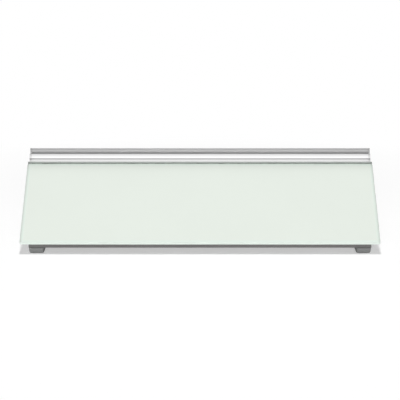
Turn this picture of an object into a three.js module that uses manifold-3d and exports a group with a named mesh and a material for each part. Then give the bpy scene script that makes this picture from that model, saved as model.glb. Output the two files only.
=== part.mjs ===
// Desktop glass whiteboard: a tilted glass writing panel on a moulded wedge housing, with an
// extruded marker and phone rail along its top edge, four feet and a pull-out drawer at each end.
// Millimetres. +X runs along the board, +Y points away from the writer and +Z up from the desk.
// Sizes from front to back are measured from the lowest edge of the glass, heights from the desk.
import * as THREE from "three";
import { mergeVertices } from "three/addons/utils/BufferGeometryUtils.js";
import Module from "manifold-3d";

const wasm = await Module();
wasm.setup();

// Fits
const SEAT_GAP = 0.3; // between two pieces that rest on each other
const OVERRUN = 6; // how far a cutter passes through a face

// Glass panel
const GLASS_WIDTH = 457.2;
const GLASS_LENGTH = 152.4;
const GLASS_THICKNESS = 4;
const GLASS_CORNER_RADIUS = 2.5;
const GLASS_EDGE_CHAMFER = 0.5;
const GLASS_FRONT_HEIGHT = 12.2; // from the desk to the lowest edge of the glass
const TILT_DEGREES = 30;

// White steel backing sheet and the foam tapes that hold it down
const BACKING_THICKNESS = 0.5;
const BACKING_MARGIN = 2.5;
const TAPE_THICKNESS = 1;
const TAPE_WIDTH = 12;
const TAPE_END_MARGIN = 24;
const TAPE_NAMES = ["lower", "middle", "upper"];
const TAPE_PLACE_SHARES = [0.12, 0.5, 0.88]; // of the glass length

// Rail across the top
const RAIL_END_INSET = 0.6; // from the end of the glass to the end cap's face
const END_CAP_THICKNESS = 2.2;
const LIP_HEIGHT = 2.7; // above the glass face
const LIP_THICKNESS = 1.8;
const LIP_RETURN = 1.55; // from the lip's top down to the trough
const TROUGH_REACH = 22; // from the glass to the step behind the trough
const TROUGH_SAG = 2.2;
const TROUGH_PULL = 5.5; // from the step to the deep part that shapes the trough
const STEP_HEIGHT = 2.1;
const COVE_DEPTH = 3.3;
const COVE_HEIGHT = 4.95; // above the step
const WALL_EDGE_RADIUS = 0.3;
const SLOT_FRONT_THICKNESS = 1.8;
const SLOT_WIDTH = 8.2;
const BACK_WALL_THICKNESS = 2;
const BACK_WALL_RISE = 6; // above the slot's front wall
const HEM_HEIGHT = 1.4; // of the thicker edge along the top of the back wall
const HEM_DEPTH = 0.6;
const RAIL_DROP = 8.2; // from the top edge of the glass face to the rail's underside
const RAIL_SKIN = 2;
const CHAMBER_RADIUS = 0.8;
const SLOT_FLOOR_RADIUS = 1.4;
const CAP_PEG_LENGTH = 5;
const LINER_THICKNESS = 1.2;

// Moulded wedge housing
const GLASS_OVERHANG = 11; // of the glass past each end of the housing
const HOUSING_WALL = 2.5;
const HOUSING_SETBACK = 4; // from the lowest edge of the glass back to the nose
const HOUSING_RIM_HEIGHT = 7.4;
const HOUSING_REAR_INSET = 0.6; // from the rail's back to the rear wall
const HOUSING_REAR_DRAFT = 4;
const HOUSING_EDGE_RADIUS = 1.2;
const HOUSING_RIM_RADIUS = 0.6;
const RIB_THICKNESS = 1.6;
const DECK_RIB_DEPTH = 5;
const DECK_RIB_SPACING = 36;
const BAY_FRONT = 44; // where the drawer bays begin
const BAY_END = 20; // from the middle of the board to a bay's inner wall

// Bottom cover
const COVER_THICKNESS = 2.5;
const COVER_RECESS = 0.3; // above the housing's rim
const COVER_CORNER_RADIUS = 3;
const SCREW_CUP_RADIUS = 5;
const SCREW_CUP_RISE = 2.6;
const FOOT_BOSS_RADIUS = 4.5;
const FOOT_BOSS_RISE = 1.5;

// Screws
const SCREW_SHANK_RADIUS = 1.5;
const SCREW_HEAD_RADIUS = 2.9;
const SCREW_HEAD_HEIGHT = 2;
const SCREW_TIP_LENGTH = 0.8;
const SCREW_SOCKET_WIDTH = 2;
const SCREW_SOCKET_DEPTH = 1.1;
const SCREW_CLEARANCE = 0.3; // all round the shank and the head
const COVER_SCREW_REACH = 6; // past the cup into the boss
const RAIL_SCREW_REACH = 2.6; // past the skin into the chamber
const BOSS_RADIUS = 4;
const NOSE_SCREW_PLACE_SHARES = [-0.36, -0.12, 0.12, 0.36]; // of the housing's width
const NOSE_SCREW_SETBACK = 25;
const MIDDLE_SCREW_PLACE_SHARES = [0.42, 0.88]; // of the bay from front to rear
const RAIL_SCREW_PLACE_SHARES = [-0.4, -0.14, 0.14, 0.4];

// Feet
const FOOT_WIDTH = 20;
const FOOT_LENGTH = 29;
const FOOT_SETBACK = 2.4; // from the lowest edge of the glass to the front feet
const FOOT_END_INSET = 0.5; // from the housing's end
const FOOT_DRAFT = 1;
const FOOT_BEVEL_WIDTH = 2.6; // of the bevel at the corner towards the middle of the board
const FOOT_BEVEL_LENGTH = 5.5;
const FOOT_CORNER_RADIUS = 1.8;
const FOOT_SOLE_THICKNESS = 1.5;
const FOOT_SOLE_MARGIN = 2.8;
const FOOT_SOLE_STAND = 0.4; // how far the sole stands out of the foot
const REAR_FOOT_INSET = 2; // from the rear wall's lower edge

// Drawers
const DRAWER_END_GAP = 5.3; // from the bay's inner wall to the tray
const DRAWER_HELD_LENGTH = 39; // what stays in the bay when the drawer is out
const DRAWER_WALL = 2;
const DRAWER_CLEARANCE = 0.8; // to the mouth all round
const MOUTH_MARGIN = 4; // between the mouth and the bay's front and rear walls
const MOUTH_SILL = 0.8; // from the cover's top to the mouth
const MOUTH_HEADROOM = 9; // from the deck's top down to the mouth
const MOUTH_CORNER_RADIUS = 3;
const DRAWER_FRONT_THICKNESS = 3;
const DRAWER_FRONT_CLEARANCE = 0.5;
const PULL_WIDTH = 56;
const PULL_REACH = 7.5;
const PULL_THICKNESS = 2.4;
const PULL_HOOK = 4;
const PULL_HEIGHT = 34; // from the desk to its top
const RUNNER_WIDTH = 9;
const RUNNER_HEIGHT = 1.5;
const RUNNER_END_MARGIN = 6;
const RUNNER_PEG_RADIUS = 1.6;
const RUNNER_PLACE_SHARES = [0.2, 0.72]; // of the mouth from front to rear
const RUNNER_PEG_PLACE_SHARES = [-0.4, 0.4]; // of the runner's length
const STOP_LENGTH = 4;
const STOP_WIDTH = 22;
const STOP_HEIGHT = 1.6;
const STOP_TAB_DEPTH = 1.5;
const STOP_GAP = 0.5;
const DRAWER_SCREW_BITE = 1.2; // into the drawer's front
const DRAWER_SCREW_PLACE_SHARES = [0.3, 0.85]; // of the mouth from front to rear
const DRAWER_SCREW_HEIGHT = 20;

const SIDES = [
  ["left", -1],
  ["right", 1],
];
const PLACE_NAMES = ["front", "rear"]; // of runners and drawer screws

// Facets
const FILLET_STEPS = 4;
const CURVE_STEPS = 8;
const ROUND_STEPS = 12;

// Places that follow from the sizes above
const tilt = THREE.MathUtils.degToRad(TILT_DEGREES);
const rise = Math.sin(tilt);
const run = Math.cos(tilt);
const glassTop = {
  y: GLASS_LENGTH * run - GLASS_THICKNESS * rise,
  z: GLASS_FRONT_HEIGHT + GLASS_LENGTH * rise + GLASS_THICKNESS * run,
};
const deckDrop = 3 * SEAT_GAP + BACKING_THICKNESS + TAPE_THICKNESS; // below the back of the glass
const deckHeight = (y) => GLASS_FRONT_HEIGHT + (y * rise - deckDrop) / run;
const railBottom = glassTop.z - RAIL_DROP;
const shoulderTop = railBottom - SEAT_GAP;
const shoulderFront = ((shoulderTop - GLASS_FRONT_HEIGHT) * run + deckDrop) / rise;
const slotFrontFace = TROUGH_REACH + COVE_DEPTH;
const slotStart = slotFrontFace + SLOT_FRONT_THICKNESS;
const slotEnd = slotStart + SLOT_WIDTH;
const railDepth = slotEnd + BACK_WALL_THICKNESS;
const railBack = glassTop.y + railDepth;
const rearTop = railBack - HOUSING_REAR_INSET;
const rearBottom = rearTop - HOUSING_REAR_DRAFT;
const housingWidth = GLASS_WIDTH - 2 * GLASS_OVERHANG;
const halfHousing = housingWidth / 2;
const coverBottom = HOUSING_RIM_HEIGHT + COVER_RECESS;
const coverTop = coverBottom + COVER_THICKNESS;
const mouth = {
  front: BAY_FRONT + MOUTH_MARGIN,
  rear: rearBottom - HOUSING_WALL - MOUTH_MARGIN,
  bottom: coverTop + MOUTH_SILL,
};
const mouthWidth = mouth.rear - mouth.front;
const drawerFloor = coverTop + 2 * SEAT_GAP + RUNNER_HEIGHT; // underside of the tray
const drawerOuterEnd = halfHousing - DRAWER_FRONT_THICKNESS - SEAT_GAP;
const drawerInnerEnd = BAY_END + DRAWER_END_GAP;
const drawerTravel = drawerOuterEnd - drawerInnerEnd - DRAWER_HELD_LENGTH;
const placeInMouth = (shares) => shares.map((share) => mouth.front + share * mouthWidth);
const footTop = HOUSING_RIM_HEIGHT - SEAT_GAP;
const footX = halfHousing - FOOT_END_INSET - FOOT_WIDTH / 2;
const frontFootY = FOOT_SETBACK + FOOT_LENGTH / 2;
const rearFootY = rearBottom - REAR_FOOT_INSET - FOOT_LENGTH / 2;

// Solids from three.js geometries and back
function solid(geometry) {
  const bare = new THREE.BufferGeometry();
  const flat = geometry.index ? geometry.toNonIndexed() : geometry;
  bare.setAttribute("position", flat.getAttribute("position"));
  const merged = mergeVertices(bare);
  return new wasm.Manifold(
    new wasm.Mesh({
      numProp: 3,
      vertProperties: merged.getAttribute("position").array,
      triVerts: new Uint32Array(merged.index.array),
    }),
  );
}

function geometryOf(body) {
  const mesh = body.getMesh();
  const geometry = new THREE.BufferGeometry();
  geometry.setAttribute("position", new THREE.BufferAttribute(mesh.vertProperties, 3));
  geometry.setIndex(new THREE.BufferAttribute(mesh.triVerts, 1));
  const faceted = geometry.toNonIndexed();
  faceted.computeVertexNormals();
  return faceted;
}

const cutAll = (body, cutters) => cutters.reduce((left, cutter) => left.subtract(cutter), body);
const addAll = (body, others) => others.reduce((sum, other) => sum.add(other), body);

// A box between two corners
function block(low, high) {
  const size = high.map((value, i) => value - low[i]);
  const box = new THREE.BoxGeometry(...size);
  box.translate(...low.map((value, i) => value + size[i] / 2));
  return solid(box);
}

// An upright round bar from one height to another
function post(x, y, bottom, top, radius) {
  const bar = new THREE.CylinderGeometry(radius, radius, top - bottom, ROUND_STEPS);
  bar.rotateX(Math.PI / 2);
  bar.translate(x, y, (bottom + top) / 2);
  return solid(bar);
}

// A closed outline through corners, each given as [across, up, corner radius]
function outline(corners) {
  const shape = new THREE.Shape();
  corners.forEach(([a, b, radius = 0], i) => {
    const corner = new THREE.Vector2(a, b);
    const before = new THREE.Vector2(...corners.at(i - 1));
    const after = new THREE.Vector2(...corners[(i + 1) % corners.length]);
    const back = before.clone().sub(corner).normalize();
    const on = after.clone().sub(corner).normalize();
    const reach = radius / Math.tan(Math.acos(back.dot(on)) / 2);
    const start = corner.clone().addScaledVector(back, reach);
    const end = corner.clone().addScaledVector(on, reach);
    if (i === 0) shape.moveTo(start.x, start.y);
    else shape.lineTo(start.x, start.y);
    if (radius > 0) shape.quadraticCurveTo(corner.x, corner.y, end.x, end.y);
  });
  shape.closePath();
  return shape;
}

// A side-view outline, front to back and up, drawn out along X
function alongX(shape, from, to, steps = FILLET_STEPS) {
  const bar = new THREE.ExtrudeGeometry(shape, {
    depth: to - from,
    bevelEnabled: false,
    curveSegments: steps,
  });
  const turn = new THREE.Matrix4().makeBasis(
    new THREE.Vector3(0, 1, 0),
    new THREE.Vector3(0, 0, 1),
    new THREE.Vector3(1, 0, 0),
  );
  bar.applyMatrix4(turn);
  bar.translate(from, 0, 0);
  return solid(bar);
}

// A front-view outline, along the board and up, drawn out from front to back
function alongY(shape, from, to, steps = FILLET_STEPS) {
  const bar = new THREE.ExtrudeGeometry(shape, {
    depth: to - from,
    bevelEnabled: false,
    curveSegments: steps,
  });
  bar.rotateX(Math.PI / 2);
  bar.translate(0, to, 0);
  return solid(bar);
}

// A plan outline drawn up from one height to another
function alongZ(shape, from, to, steps = FILLET_STEPS) {
  const bar = new THREE.ExtrudeGeometry(shape, {
    depth: to - from,
    bevelEnabled: false,
    curveSegments: steps,
  });
  bar.translate(0, 0, from);
  return solid(bar);
}

// Corners of a rectangle between two points, all with one radius
const rectangle = (a0, b0, a1, b1, radius = 0) => [
  [a0, b0, radius],
  [a1, b0, radius],
  [a1, b1, radius],
  [a0, b1, radius],
];

const finish = (color, roughness, metalness = 0) =>
  new THREE.MeshStandardMaterial({ color, roughness, metalness, flatShading: true });
const materials = {
  glass: finish(0xe7eee6, 0.08),
  white: finish(0xf4f6f3, 0.4),
  foam: finish(0xd9d9d4, 0.9),
  aluminium: finish(0xc9cacb, 0.35, 0.9),
  housing: finish(0x77777a, 0.55),
  railCap: finish(0xb2b3b5, 0.42, 0.8),
  tray: finish(0x4a4a4c, 0.5),
  runner: finish(0xe4e4df, 0.4),
  foot: finish(0x6f7070, 0.75),
  sole: finish(0x2c2c2d, 0.9),
  steel: finish(0xb4b6b8, 0.35, 1),
};

const whiteboard = new THREE.Group();
whiteboard.position.y = -(railBack - GLASS_THICKNESS * rise) / 2;

function place(name, body, material, parent = whiteboard) {
  const mesh = new THREE.Mesh(geometryOf(body), material);
  mesh.name = name;
  parent.add(mesh);
  return mesh;
}

// Glass panel with its backing sheet and tapes, drawn flat and tilted together
const board = new THREE.Group();
board.position.z = GLASS_FRONT_HEIGHT;
board.rotation.x = tilt;
whiteboard.add(board);

function glassPanel() {
  const inset = GLASS_EDGE_CHAMFER;
  const half = GLASS_WIDTH / 2 - inset;
  const radius = GLASS_CORNER_RADIUS - inset;
  const shape = outline(rectangle(-half, inset, half, GLASS_LENGTH - inset, radius));
  const panel = new THREE.ExtrudeGeometry(shape, {
    depth: GLASS_THICKNESS - 2 * GLASS_EDGE_CHAMFER,
    bevelThickness: GLASS_EDGE_CHAMFER,
    bevelSize: GLASS_EDGE_CHAMFER,
    bevelSegments: 1,
    curveSegments: FILLET_STEPS,
  });
  panel.translate(0, 0, GLASS_EDGE_CHAMFER);
  return solid(panel);
}

function sheet(front, back, half, top, thickness, radius) {
  return alongZ(outline(rectangle(-half, front, half, back, radius)), top - thickness, top);
}

place("glass_panel", glassPanel(), materials.glass, board);
place(
  "backing_sheet",
  sheet(
    BACKING_MARGIN,
    GLASS_LENGTH - BACKING_MARGIN,
    GLASS_WIDTH / 2 - BACKING_MARGIN,
    -SEAT_GAP,
    BACKING_THICKNESS,
    GLASS_CORNER_RADIUS,
  ),
  materials.white,
  board,
);
const tapeTop = -2 * SEAT_GAP - BACKING_THICKNESS;
TAPE_PLACE_SHARES.forEach((share, i) => {
  const middle = GLASS_LENGTH * share;
  const half = halfHousing - TAPE_END_MARGIN;
  place(
    "mounting_tape_" + TAPE_NAMES[i],
    sheet(middle - TAPE_WIDTH / 2, middle + TAPE_WIDTH / 2, half, tapeTop, TAPE_THICKNESS, 0),
    materials.foam,
    board,
  );
});

// A screw with a pan head, its shank pointing up from the head's underside
function screw(length) {
  const head = SCREW_HEAD_HEIGHT;
  const points = [
    [0, -head],
    [SCREW_HEAD_RADIUS - head / 2, -head],
    [SCREW_HEAD_RADIUS, -head / 2],
    [SCREW_HEAD_RADIUS, 0],
    [SCREW_SHANK_RADIUS, 0],
    [SCREW_SHANK_RADIUS, length - SCREW_TIP_LENGTH],
    [0, length],
  ].map(([r, z]) => new THREE.Vector2(r, z));
  const turned = new THREE.LatheGeometry(points, ROUND_STEPS);
  turned.rotateX(Math.PI / 2);
  const half = SCREW_SOCKET_WIDTH / 2;
  const socket = post(0, 0, -head - OVERRUN, -head + SCREW_SOCKET_DEPTH, half);
  return solid(turned).subtract(socket);
}

const shankHole = SCREW_SHANK_RADIUS + SCREW_CLEARANCE;
const headHole = SCREW_HEAD_RADIUS + SCREW_CLEARANCE;

// The rail's trough, slot and walls, measured from the top edge of the glass face
const lipTop = LIP_HEIGHT * run;
const lipBack = LIP_THICKNESS - LIP_HEIGHT * rise;
const troughRim = lipTop - LIP_RETURN;
const stepTop = troughRim + STEP_HEIGHT;
const wallTop = stepTop + COVE_HEIGHT;
const backTop = wallTop + BACK_WALL_RISE;
const slotFloor = RAIL_SKIN - RAIL_DROP;
const noseGap = SEAT_GAP / run;

// How far behind the glass's top edge the rail's front face lies at a height
const noseAt = (up) => noseGap - (up * rise) / run;

function railOutline(withSlot) {
  const shape = new THREE.Shape();
  const r = WALL_EDGE_RADIUS;
  shape.moveTo(noseAt(-RAIL_DROP), -RAIL_DROP);
  shape.lineTo(railDepth, -RAIL_DROP);
  roundedTop(shape, railDepth, slotEnd, backTop, r);
  shape.lineTo(slotEnd, backTop - HEM_HEIGHT);
  shape.lineTo(slotEnd + HEM_DEPTH, backTop - HEM_HEIGHT);
  shape.lineTo(slotEnd, wallTop);
  if (withSlot) {
    const floorRadius = SLOT_FLOOR_RADIUS;
    shape.lineTo(slotEnd, slotFloor + floorRadius);
    shape.quadraticCurveTo(slotEnd, slotFloor, slotEnd - floorRadius, slotFloor);
    shape.lineTo(slotStart + floorRadius, slotFloor);
    shape.quadraticCurveTo(slotStart, slotFloor, slotStart, slotFloor + floorRadius);
  } else {
    shape.lineTo(slotEnd, wallTop - r);
    shape.lineTo(slotStart, wallTop - r);
  }
  roundedTop(shape, slotStart, slotFrontFace, wallTop, r);
  const coveFoot = { across: slotFrontFace - COVE_DEPTH / 4, up: stepTop + COVE_HEIGHT / 3 };
  shape.quadraticCurveTo(coveFoot.across, coveFoot.up, TROUGH_REACH + r, stepTop);
  shape.lineTo(TROUGH_REACH, stepTop - r);
  shape.lineTo(TROUGH_REACH, troughRim);
  shape.quadraticCurveTo(
    TROUGH_REACH - TROUGH_PULL,
    troughRim - 2 * TROUGH_SAG,
    lipBack + LIP_RETURN,
    troughRim,
  );
  shape.lineTo(lipBack, lipTop);
  shape.lineTo(noseAt(lipTop), lipTop);
  shape.closePath();
  return shape;
}

// The top of a wall, from its rear face over to its front face, with eased edges
function roundedTop(shape, rear, front, top, radius) {
  shape.lineTo(rear, top - radius);
  shape.quadraticCurveTo(rear, top, rear - radius, top);
  shape.lineTo(front + radius, top);
  shape.quadraticCurveTo(front, top, front, top - radius);
}

// The hollow under the trough, which the end caps' pegs enter
function chamberOutline(clearance) {
  const low = slotFloor + clearance;
  const high = troughRim - TROUGH_SAG - RAIL_SKIN - clearance;
  const side = RAIL_SKIN / run + clearance;
  const rear = slotStart - RAIL_SKIN - clearance;
  return outline([
    [noseAt(low) + side, low, CHAMBER_RADIUS],
    [rear, low, CHAMBER_RADIUS],
    [rear, high, CHAMBER_RADIUS],
    [noseAt(high) + side, high, CHAMBER_RADIUS],
  ]);
}

const railFrame = new THREE.Group();
railFrame.position.set(0, glassTop.y, glassTop.z);
whiteboard.add(railFrame);
const halfRail = GLASS_WIDTH / 2 - RAIL_END_INSET - END_CAP_THICKNESS - SEAT_GAP;
const railScrewY = (rearTop + shoulderFront) / 2 - HOUSING_WALL;

function topRail() {
  const body = alongX(railOutline(true), -halfRail, halfRail, CURVE_STEPS);
  const chamber = alongX(chamberOutline(0), -halfRail - OVERRUN, halfRail + OVERRUN);
  const holes = RAIL_SCREW_PLACE_SHARES.map((share) =>
    post(
      share * housingWidth,
      railScrewY - glassTop.y,
      -RAIL_DROP - OVERRUN,
      (slotFloor + troughRim - TROUGH_SAG - RAIL_SKIN) / 2,
      shankHole,
    ),
  );
  return cutAll(body, [chamber, ...holes]);
}

function endCap() {
  const face = halfRail + SEAT_GAP;
  const plate = alongX(railOutline(false), face, face + END_CAP_THICKNESS, CURVE_STEPS);
  const root = face + END_CAP_THICKNESS / 2;
  const peg = alongX(chamberOutline(SEAT_GAP), face - CAP_PEG_LENGTH, root);
  return plate.add(peg);
}

function slotLiner() {
  const start = slotStart + SEAT_GAP;
  const end = slotEnd - SEAT_GAP;
  const low = slotFloor + SEAT_GAP;
  const radius = Math.min(SLOT_FLOOR_RADIUS, LINER_THICKNESS / 2);
  const corners = [
    [start, low, radius],
    [end, low, radius],
    [end, low + LINER_THICKNESS],
    [start, low + LINER_THICKNESS],
  ];
  return alongX(outline(corners), -halfRail, halfRail);
}

place("top_rail", topRail(), materials.aluminium, railFrame);
for (const [word, side] of SIDES) {
  place("rail_end_cap_" + word, endCap(), materials.railCap, railFrame).scale.x = side;
}
place("phone_slot_liner", slotLiner(), materials.sole, railFrame);

// Housing side view: nose, sloping deck, level shoulder under the rail and drafted rear wall
function housingSide(inset, bottom, radius) {
  const deckInset = inset / run;
  const shoulder = shoulderTop - inset;
  const kink = shoulderFront + (deckInset - inset) * (run / rise);
  const nose = HOUSING_SETBACK + inset;
  return outline([
    [nose, bottom, inset > 0 ? 0 : HOUSING_RIM_RADIUS],
    [nose, deckHeight(nose) - deckInset, radius],
    [kink, shoulder],
    [rearTop - inset, shoulder, radius],
    [rearBottom - inset, bottom, inset > 0 ? 0 : HOUSING_RIM_RADIUS],
  ]);
}

// A drawer's mouth, or what passes through it, drawn in from the mouth by a clearance
function mouthSide(clearance, bottom, radius = MOUTH_CORNER_RADIUS) {
  const headroom = MOUTH_HEADROOM + clearance;
  const front = mouth.front + clearance;
  const rear = mouth.rear - clearance;
  const top = shoulderTop - headroom;
  const kink = shoulderFront + (headroom / run - headroom) * (run / rise);
  return outline([
    [front, bottom, radius],
    [front, deckHeight(front) - headroom / run, radius],
    [kink, top, radius],
    [rear, top, radius],
    [rear, bottom, radius],
  ]);
}

const bayDepth = rearBottom - HOUSING_WALL - BAY_FRONT;
const coverScrews = [
  ...NOSE_SCREW_PLACE_SHARES.map((share) => [share * housingWidth, NOSE_SCREW_SETBACK]),
  ...MIDDLE_SCREW_PLACE_SHARES.map((share) => [0, BAY_FRONT + share * bayDepth]),
];
const cupTop = coverTop + SCREW_CUP_RISE;
const bossBottom = cupTop + SEAT_GAP;

function housing() {
  const frontView = outline([
    [-halfHousing, HOUSING_RIM_HEIGHT, HOUSING_RIM_RADIUS],
    [halfHousing, HOUSING_RIM_HEIGHT, HOUSING_RIM_RADIUS],
    [halfHousing, shoulderTop + OVERRUN],
    [-halfHousing, shoulderTop + OVERRUN],
  ]);
  const side = housingSide(0, HOUSING_RIM_HEIGHT, HOUSING_EDGE_RADIUS);
  const outer = alongX(side, -halfHousing, halfHousing).intersect(
    alongY(frontView, -OVERRUN, rearTop + OVERRUN),
  );
  const inside = halfHousing - HOUSING_WALL;
  const hollow = alongX(
    housingSide(HOUSING_WALL, HOUSING_RIM_HEIGHT - OVERRUN, 0),
    -inside,
    inside,
  );
  const shell = outer.subtract(hollow);

  const ribBottom = coverTop + SEAT_GAP;
  const top = shoulderTop;
  const rear = rearTop;
  const ends = inside + HOUSING_WALL / 2;
  const bayWall = block([-ends, BAY_FRONT - HOUSING_WALL, ribBottom], [ends, BAY_FRONT, top]);
  const bayFace = BAY_FRONT - HOUSING_WALL / 2;
  const middleWalls = SIDES.map(([, end]) => {
    const face = end * BAY_END;
    const back = end * (BAY_END - HOUSING_WALL);
    return block(
      [Math.min(face, back), bayFace, ribBottom],
      [Math.max(face, back), rear, top],
    );
  });
  const deckRibs = [];
  const noseRibs = [];
  const count = Math.floor((inside - BAY_END) / DECK_RIB_SPACING);
  for (let i = 0; i <= count; i += 1) {
    for (const [, end] of SIDES) {
      const x = end * (BAY_END + i * DECK_RIB_SPACING);
      const low = x - RIB_THICKNESS / 2;
      const high = x + RIB_THICKNESS / 2;
      noseRibs.push(block([low, HOUSING_SETBACK, ribBottom], [high, bayFace, top]));
      if (i > 0) deckRibs.push(block([low, bayFace, ribBottom], [high, rear, top]));
    }
  }
  const belowRibs = alongX(
    housingSide(HOUSING_WALL + DECK_RIB_DEPTH, HOUSING_RIM_HEIGHT - OVERRUN, 0),
    -ends,
    ends,
  );
  const withinWalls = alongX(
    housingSide(HOUSING_WALL / 2, HOUSING_RIM_HEIGHT - OVERRUN, 0),
    -ends,
    ends,
  );
  const bosses = coverScrews.map(([x, y]) => post(x, y, bossBottom, top, BOSS_RADIUS));
  const bossBores = coverScrews.map(([x, y]) =>
    post(x, y, bossBottom - OVERRUN, cupTop + COVER_SCREW_REACH + SEAT_GAP, shankHole),
  );
  const cupRooms = coverScrews.map(([x, y]) =>
    post(x, y, ribBottom - OVERRUN, bossBottom, SCREW_CUP_RADIUS + SCREW_CLEARANCE),
  );
  const trimmedRibs = addAll(deckRibs[0], deckRibs.slice(1)).subtract(belowRibs);
  const inner = addAll(trimmedRibs, [bayWall, ...middleWalls, ...noseRibs, ...bosses]);
  const mouths = SIDES.map(([, side]) => {
    const reach = [side * (inside - OVERRUN), side * (halfHousing + OVERRUN)];
    return alongX(mouthSide(0, mouth.bottom), Math.min(...reach), Math.max(...reach));
  });
  const railHoles = RAIL_SCREW_PLACE_SHARES.map((share) =>
    post(share * housingWidth, railScrewY, top - HOUSING_WALL - OVERRUN, top + OVERRUN, shankHole),
  );
  return cutAll(shell.add(inner.intersect(withinWalls)), [
    ...cupRooms,
    ...bossBores,
    ...mouths,
    ...railHoles,
  ]);
}

place("housing", housing(), materials.housing);

// Feet, one at each corner, each with a screw and a sole pressed into its underside
const feet = [
  ["front_left", -footX, frontFootY, -1, 1],
  ["front_right", footX, frontFootY, 1, 1],
  ["rear_left", -footX, rearFootY, -1, -1],
  ["rear_right", footX, rearFootY, 1, -1],
];
const footBottom = FOOT_SOLE_STAND;
const solePocketTop = FOOT_SOLE_THICKNESS + SEAT_GAP;
const footScrewSeat = solePocketTop + SEAT_GAP + SCREW_HEAD_HEIGHT;

// A foot's outline in front or side view, narrowing towards the desk
function footView(width) {
  const half = width / 2;
  const low = half - FOOT_DRAFT;
  return outline([
    [-low, footBottom, FOOT_CORNER_RADIUS],
    [low, footBottom, FOOT_CORNER_RADIUS],
    [half, footTop],
    [-half, footTop],
  ]);
}

// The plan of the pocket under a foot, or of the sole that fills it
function solePlan(clearance) {
  const halfX = FOOT_WIDTH / 2 - FOOT_SOLE_MARGIN - clearance;
  const halfY = FOOT_LENGTH / 2 - FOOT_SOLE_MARGIN - clearance;
  return outline(rectangle(-halfX, -halfY, halfX, halfY, FOOT_CORNER_RADIUS));
}

// The front right foot; the others are its mirror images
function foot() {
  const across = alongY(footView(FOOT_WIDTH), -FOOT_LENGTH, FOOT_LENGTH);
  const along = alongX(footView(FOOT_LENGTH), -FOOT_WIDTH, FOOT_WIDTH);
  const side = FOOT_WIDTH / 2;
  const end = FOOT_LENGTH / 2;
  const plan = outline([
    [-side, FOOT_BEVEL_LENGTH - end],
    [FOOT_BEVEL_WIDTH - side, -end],
    [side, -end],
    [side, end],
    [-side, end],
  ]);
  const body = across.intersect(along).intersect(alongZ(plan, footBottom, footTop));
  return cutAll(body, [
    alongZ(solePlan(0), -OVERRUN, solePocketTop),
    post(0, 0, 0, footScrewSeat + SEAT_GAP, headHole),
    post(0, 0, 0, footTop + OVERRUN, shankHole),
  ]);
}

const footScrewTip = coverTop + FOOT_BOSS_RISE;
for (const [corner, x, y, mirrorX, mirrorY] of feet) {
  const sole = alongZ(solePlan(SEAT_GAP), 0, FOOT_SOLE_THICKNESS);
  const fixing = screw(footScrewTip - footScrewSeat - SEAT_GAP);
  const body = place("foot_" + corner, foot(), materials.foot);
  body.position.set(x, y, 0);
  body.scale.set(mirrorX, mirrorY, 1);
  place("foot_sole_" + corner, sole, materials.sole).position.set(x, y, 0);
  place("foot_screw_" + corner, fixing, materials.steel).position.set(x, y, footScrewSeat);
}

// Drawer runners: low strips pegged to the cover, two under each drawer
const runnerLength = drawerOuterEnd - drawerInnerEnd - 2 * RUNNER_END_MARGIN;
const runnerMiddle = (drawerOuterEnd + drawerInnerEnd) / 2;
const runnerPlaces = placeInMouth(RUNNER_PLACE_SHARES);
const pegPlaces = RUNNER_PEG_PLACE_SHARES.map((share) => runnerMiddle + share * runnerLength);

function runner(y) {
  const bottom = coverTop + SEAT_GAP;
  const half = runnerLength / 2;
  const x = runnerMiddle;
  const strip = alongZ(
    outline(
      rectangle(x - half, y - RUNNER_WIDTH / 2, x + half, y + RUNNER_WIDTH / 2, RUNNER_WIDTH / 4),
    ),
    bottom,
    bottom + RUNNER_HEIGHT,
  );
  const pegs = pegPlaces.map((at) =>
    post(at, y, coverBottom + SEAT_GAP, bottom + RUNNER_HEIGHT / 2, RUNNER_PEG_RADIUS),
  );
  return addAll(strip, pegs);
}

// Stop blocks stand on the cover, where the tab under each tray meets them at full travel
const stopInner = drawerInnerEnd + DRAWER_WALL + drawerTravel + STOP_GAP;
const stopMiddle = (runnerPlaces[0] + runnerPlaces[1]) / 2;

function bottomCover() {
  const half = halfHousing - HOUSING_WALL - SEAT_GAP;
  const front = HOUSING_SETBACK + HOUSING_WALL + SEAT_GAP;
  const rear = rearBottom - HOUSING_WALL - SEAT_GAP;
  const plate = alongZ(
    outline(rectangle(-half, front, half, rear, COVER_CORNER_RADIUS)),
    coverBottom,
    coverTop,
  );
  const inside = (coverBottom + coverTop) / 2;
  const cups = coverScrews.map(([x, y]) => post(x, y, inside, cupTop, SCREW_CUP_RADIUS));
  const footBosses = feet.map(([, x, y]) => post(x, y, inside, footScrewTip, FOOT_BOSS_RADIUS));
  const stops = SIDES.map(([, side]) => {
    const ends = [side * stopInner, side * (stopInner + STOP_LENGTH)];
    return block(
      [Math.min(...ends), stopMiddle - STOP_WIDTH / 2, inside],
      [Math.max(...ends), stopMiddle + STOP_WIDTH / 2, coverTop + STOP_HEIGHT],
    );
  });
  const headRoom = coverBottom + SCREW_HEAD_HEIGHT + SEAT_GAP;
  const cutters = [
    ...coverScrews.map(([x, y]) => post(x, y, coverBottom - OVERRUN, headRoom, headHole)),
    ...coverScrews.map(([x, y]) => post(x, y, coverBottom, cupTop + OVERRUN, shankHole)),
    ...feet.map(([, x, y]) => post(x, y, coverBottom - OVERRUN, cupTop + OVERRUN, shankHole)),
  ];
  for (const [, side] of SIDES) {
    for (const y of runnerPlaces) {
      for (const x of pegPlaces) {
        const radius = RUNNER_PEG_RADIUS + SEAT_GAP;
        cutters.push(post(side * x, y, coverBottom - OVERRUN, coverTop + OVERRUN, radius));
      }
    }
  }
  return cutAll(addAll(plate, [...cups, ...footBosses, ...stops]), cutters);
}

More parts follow.
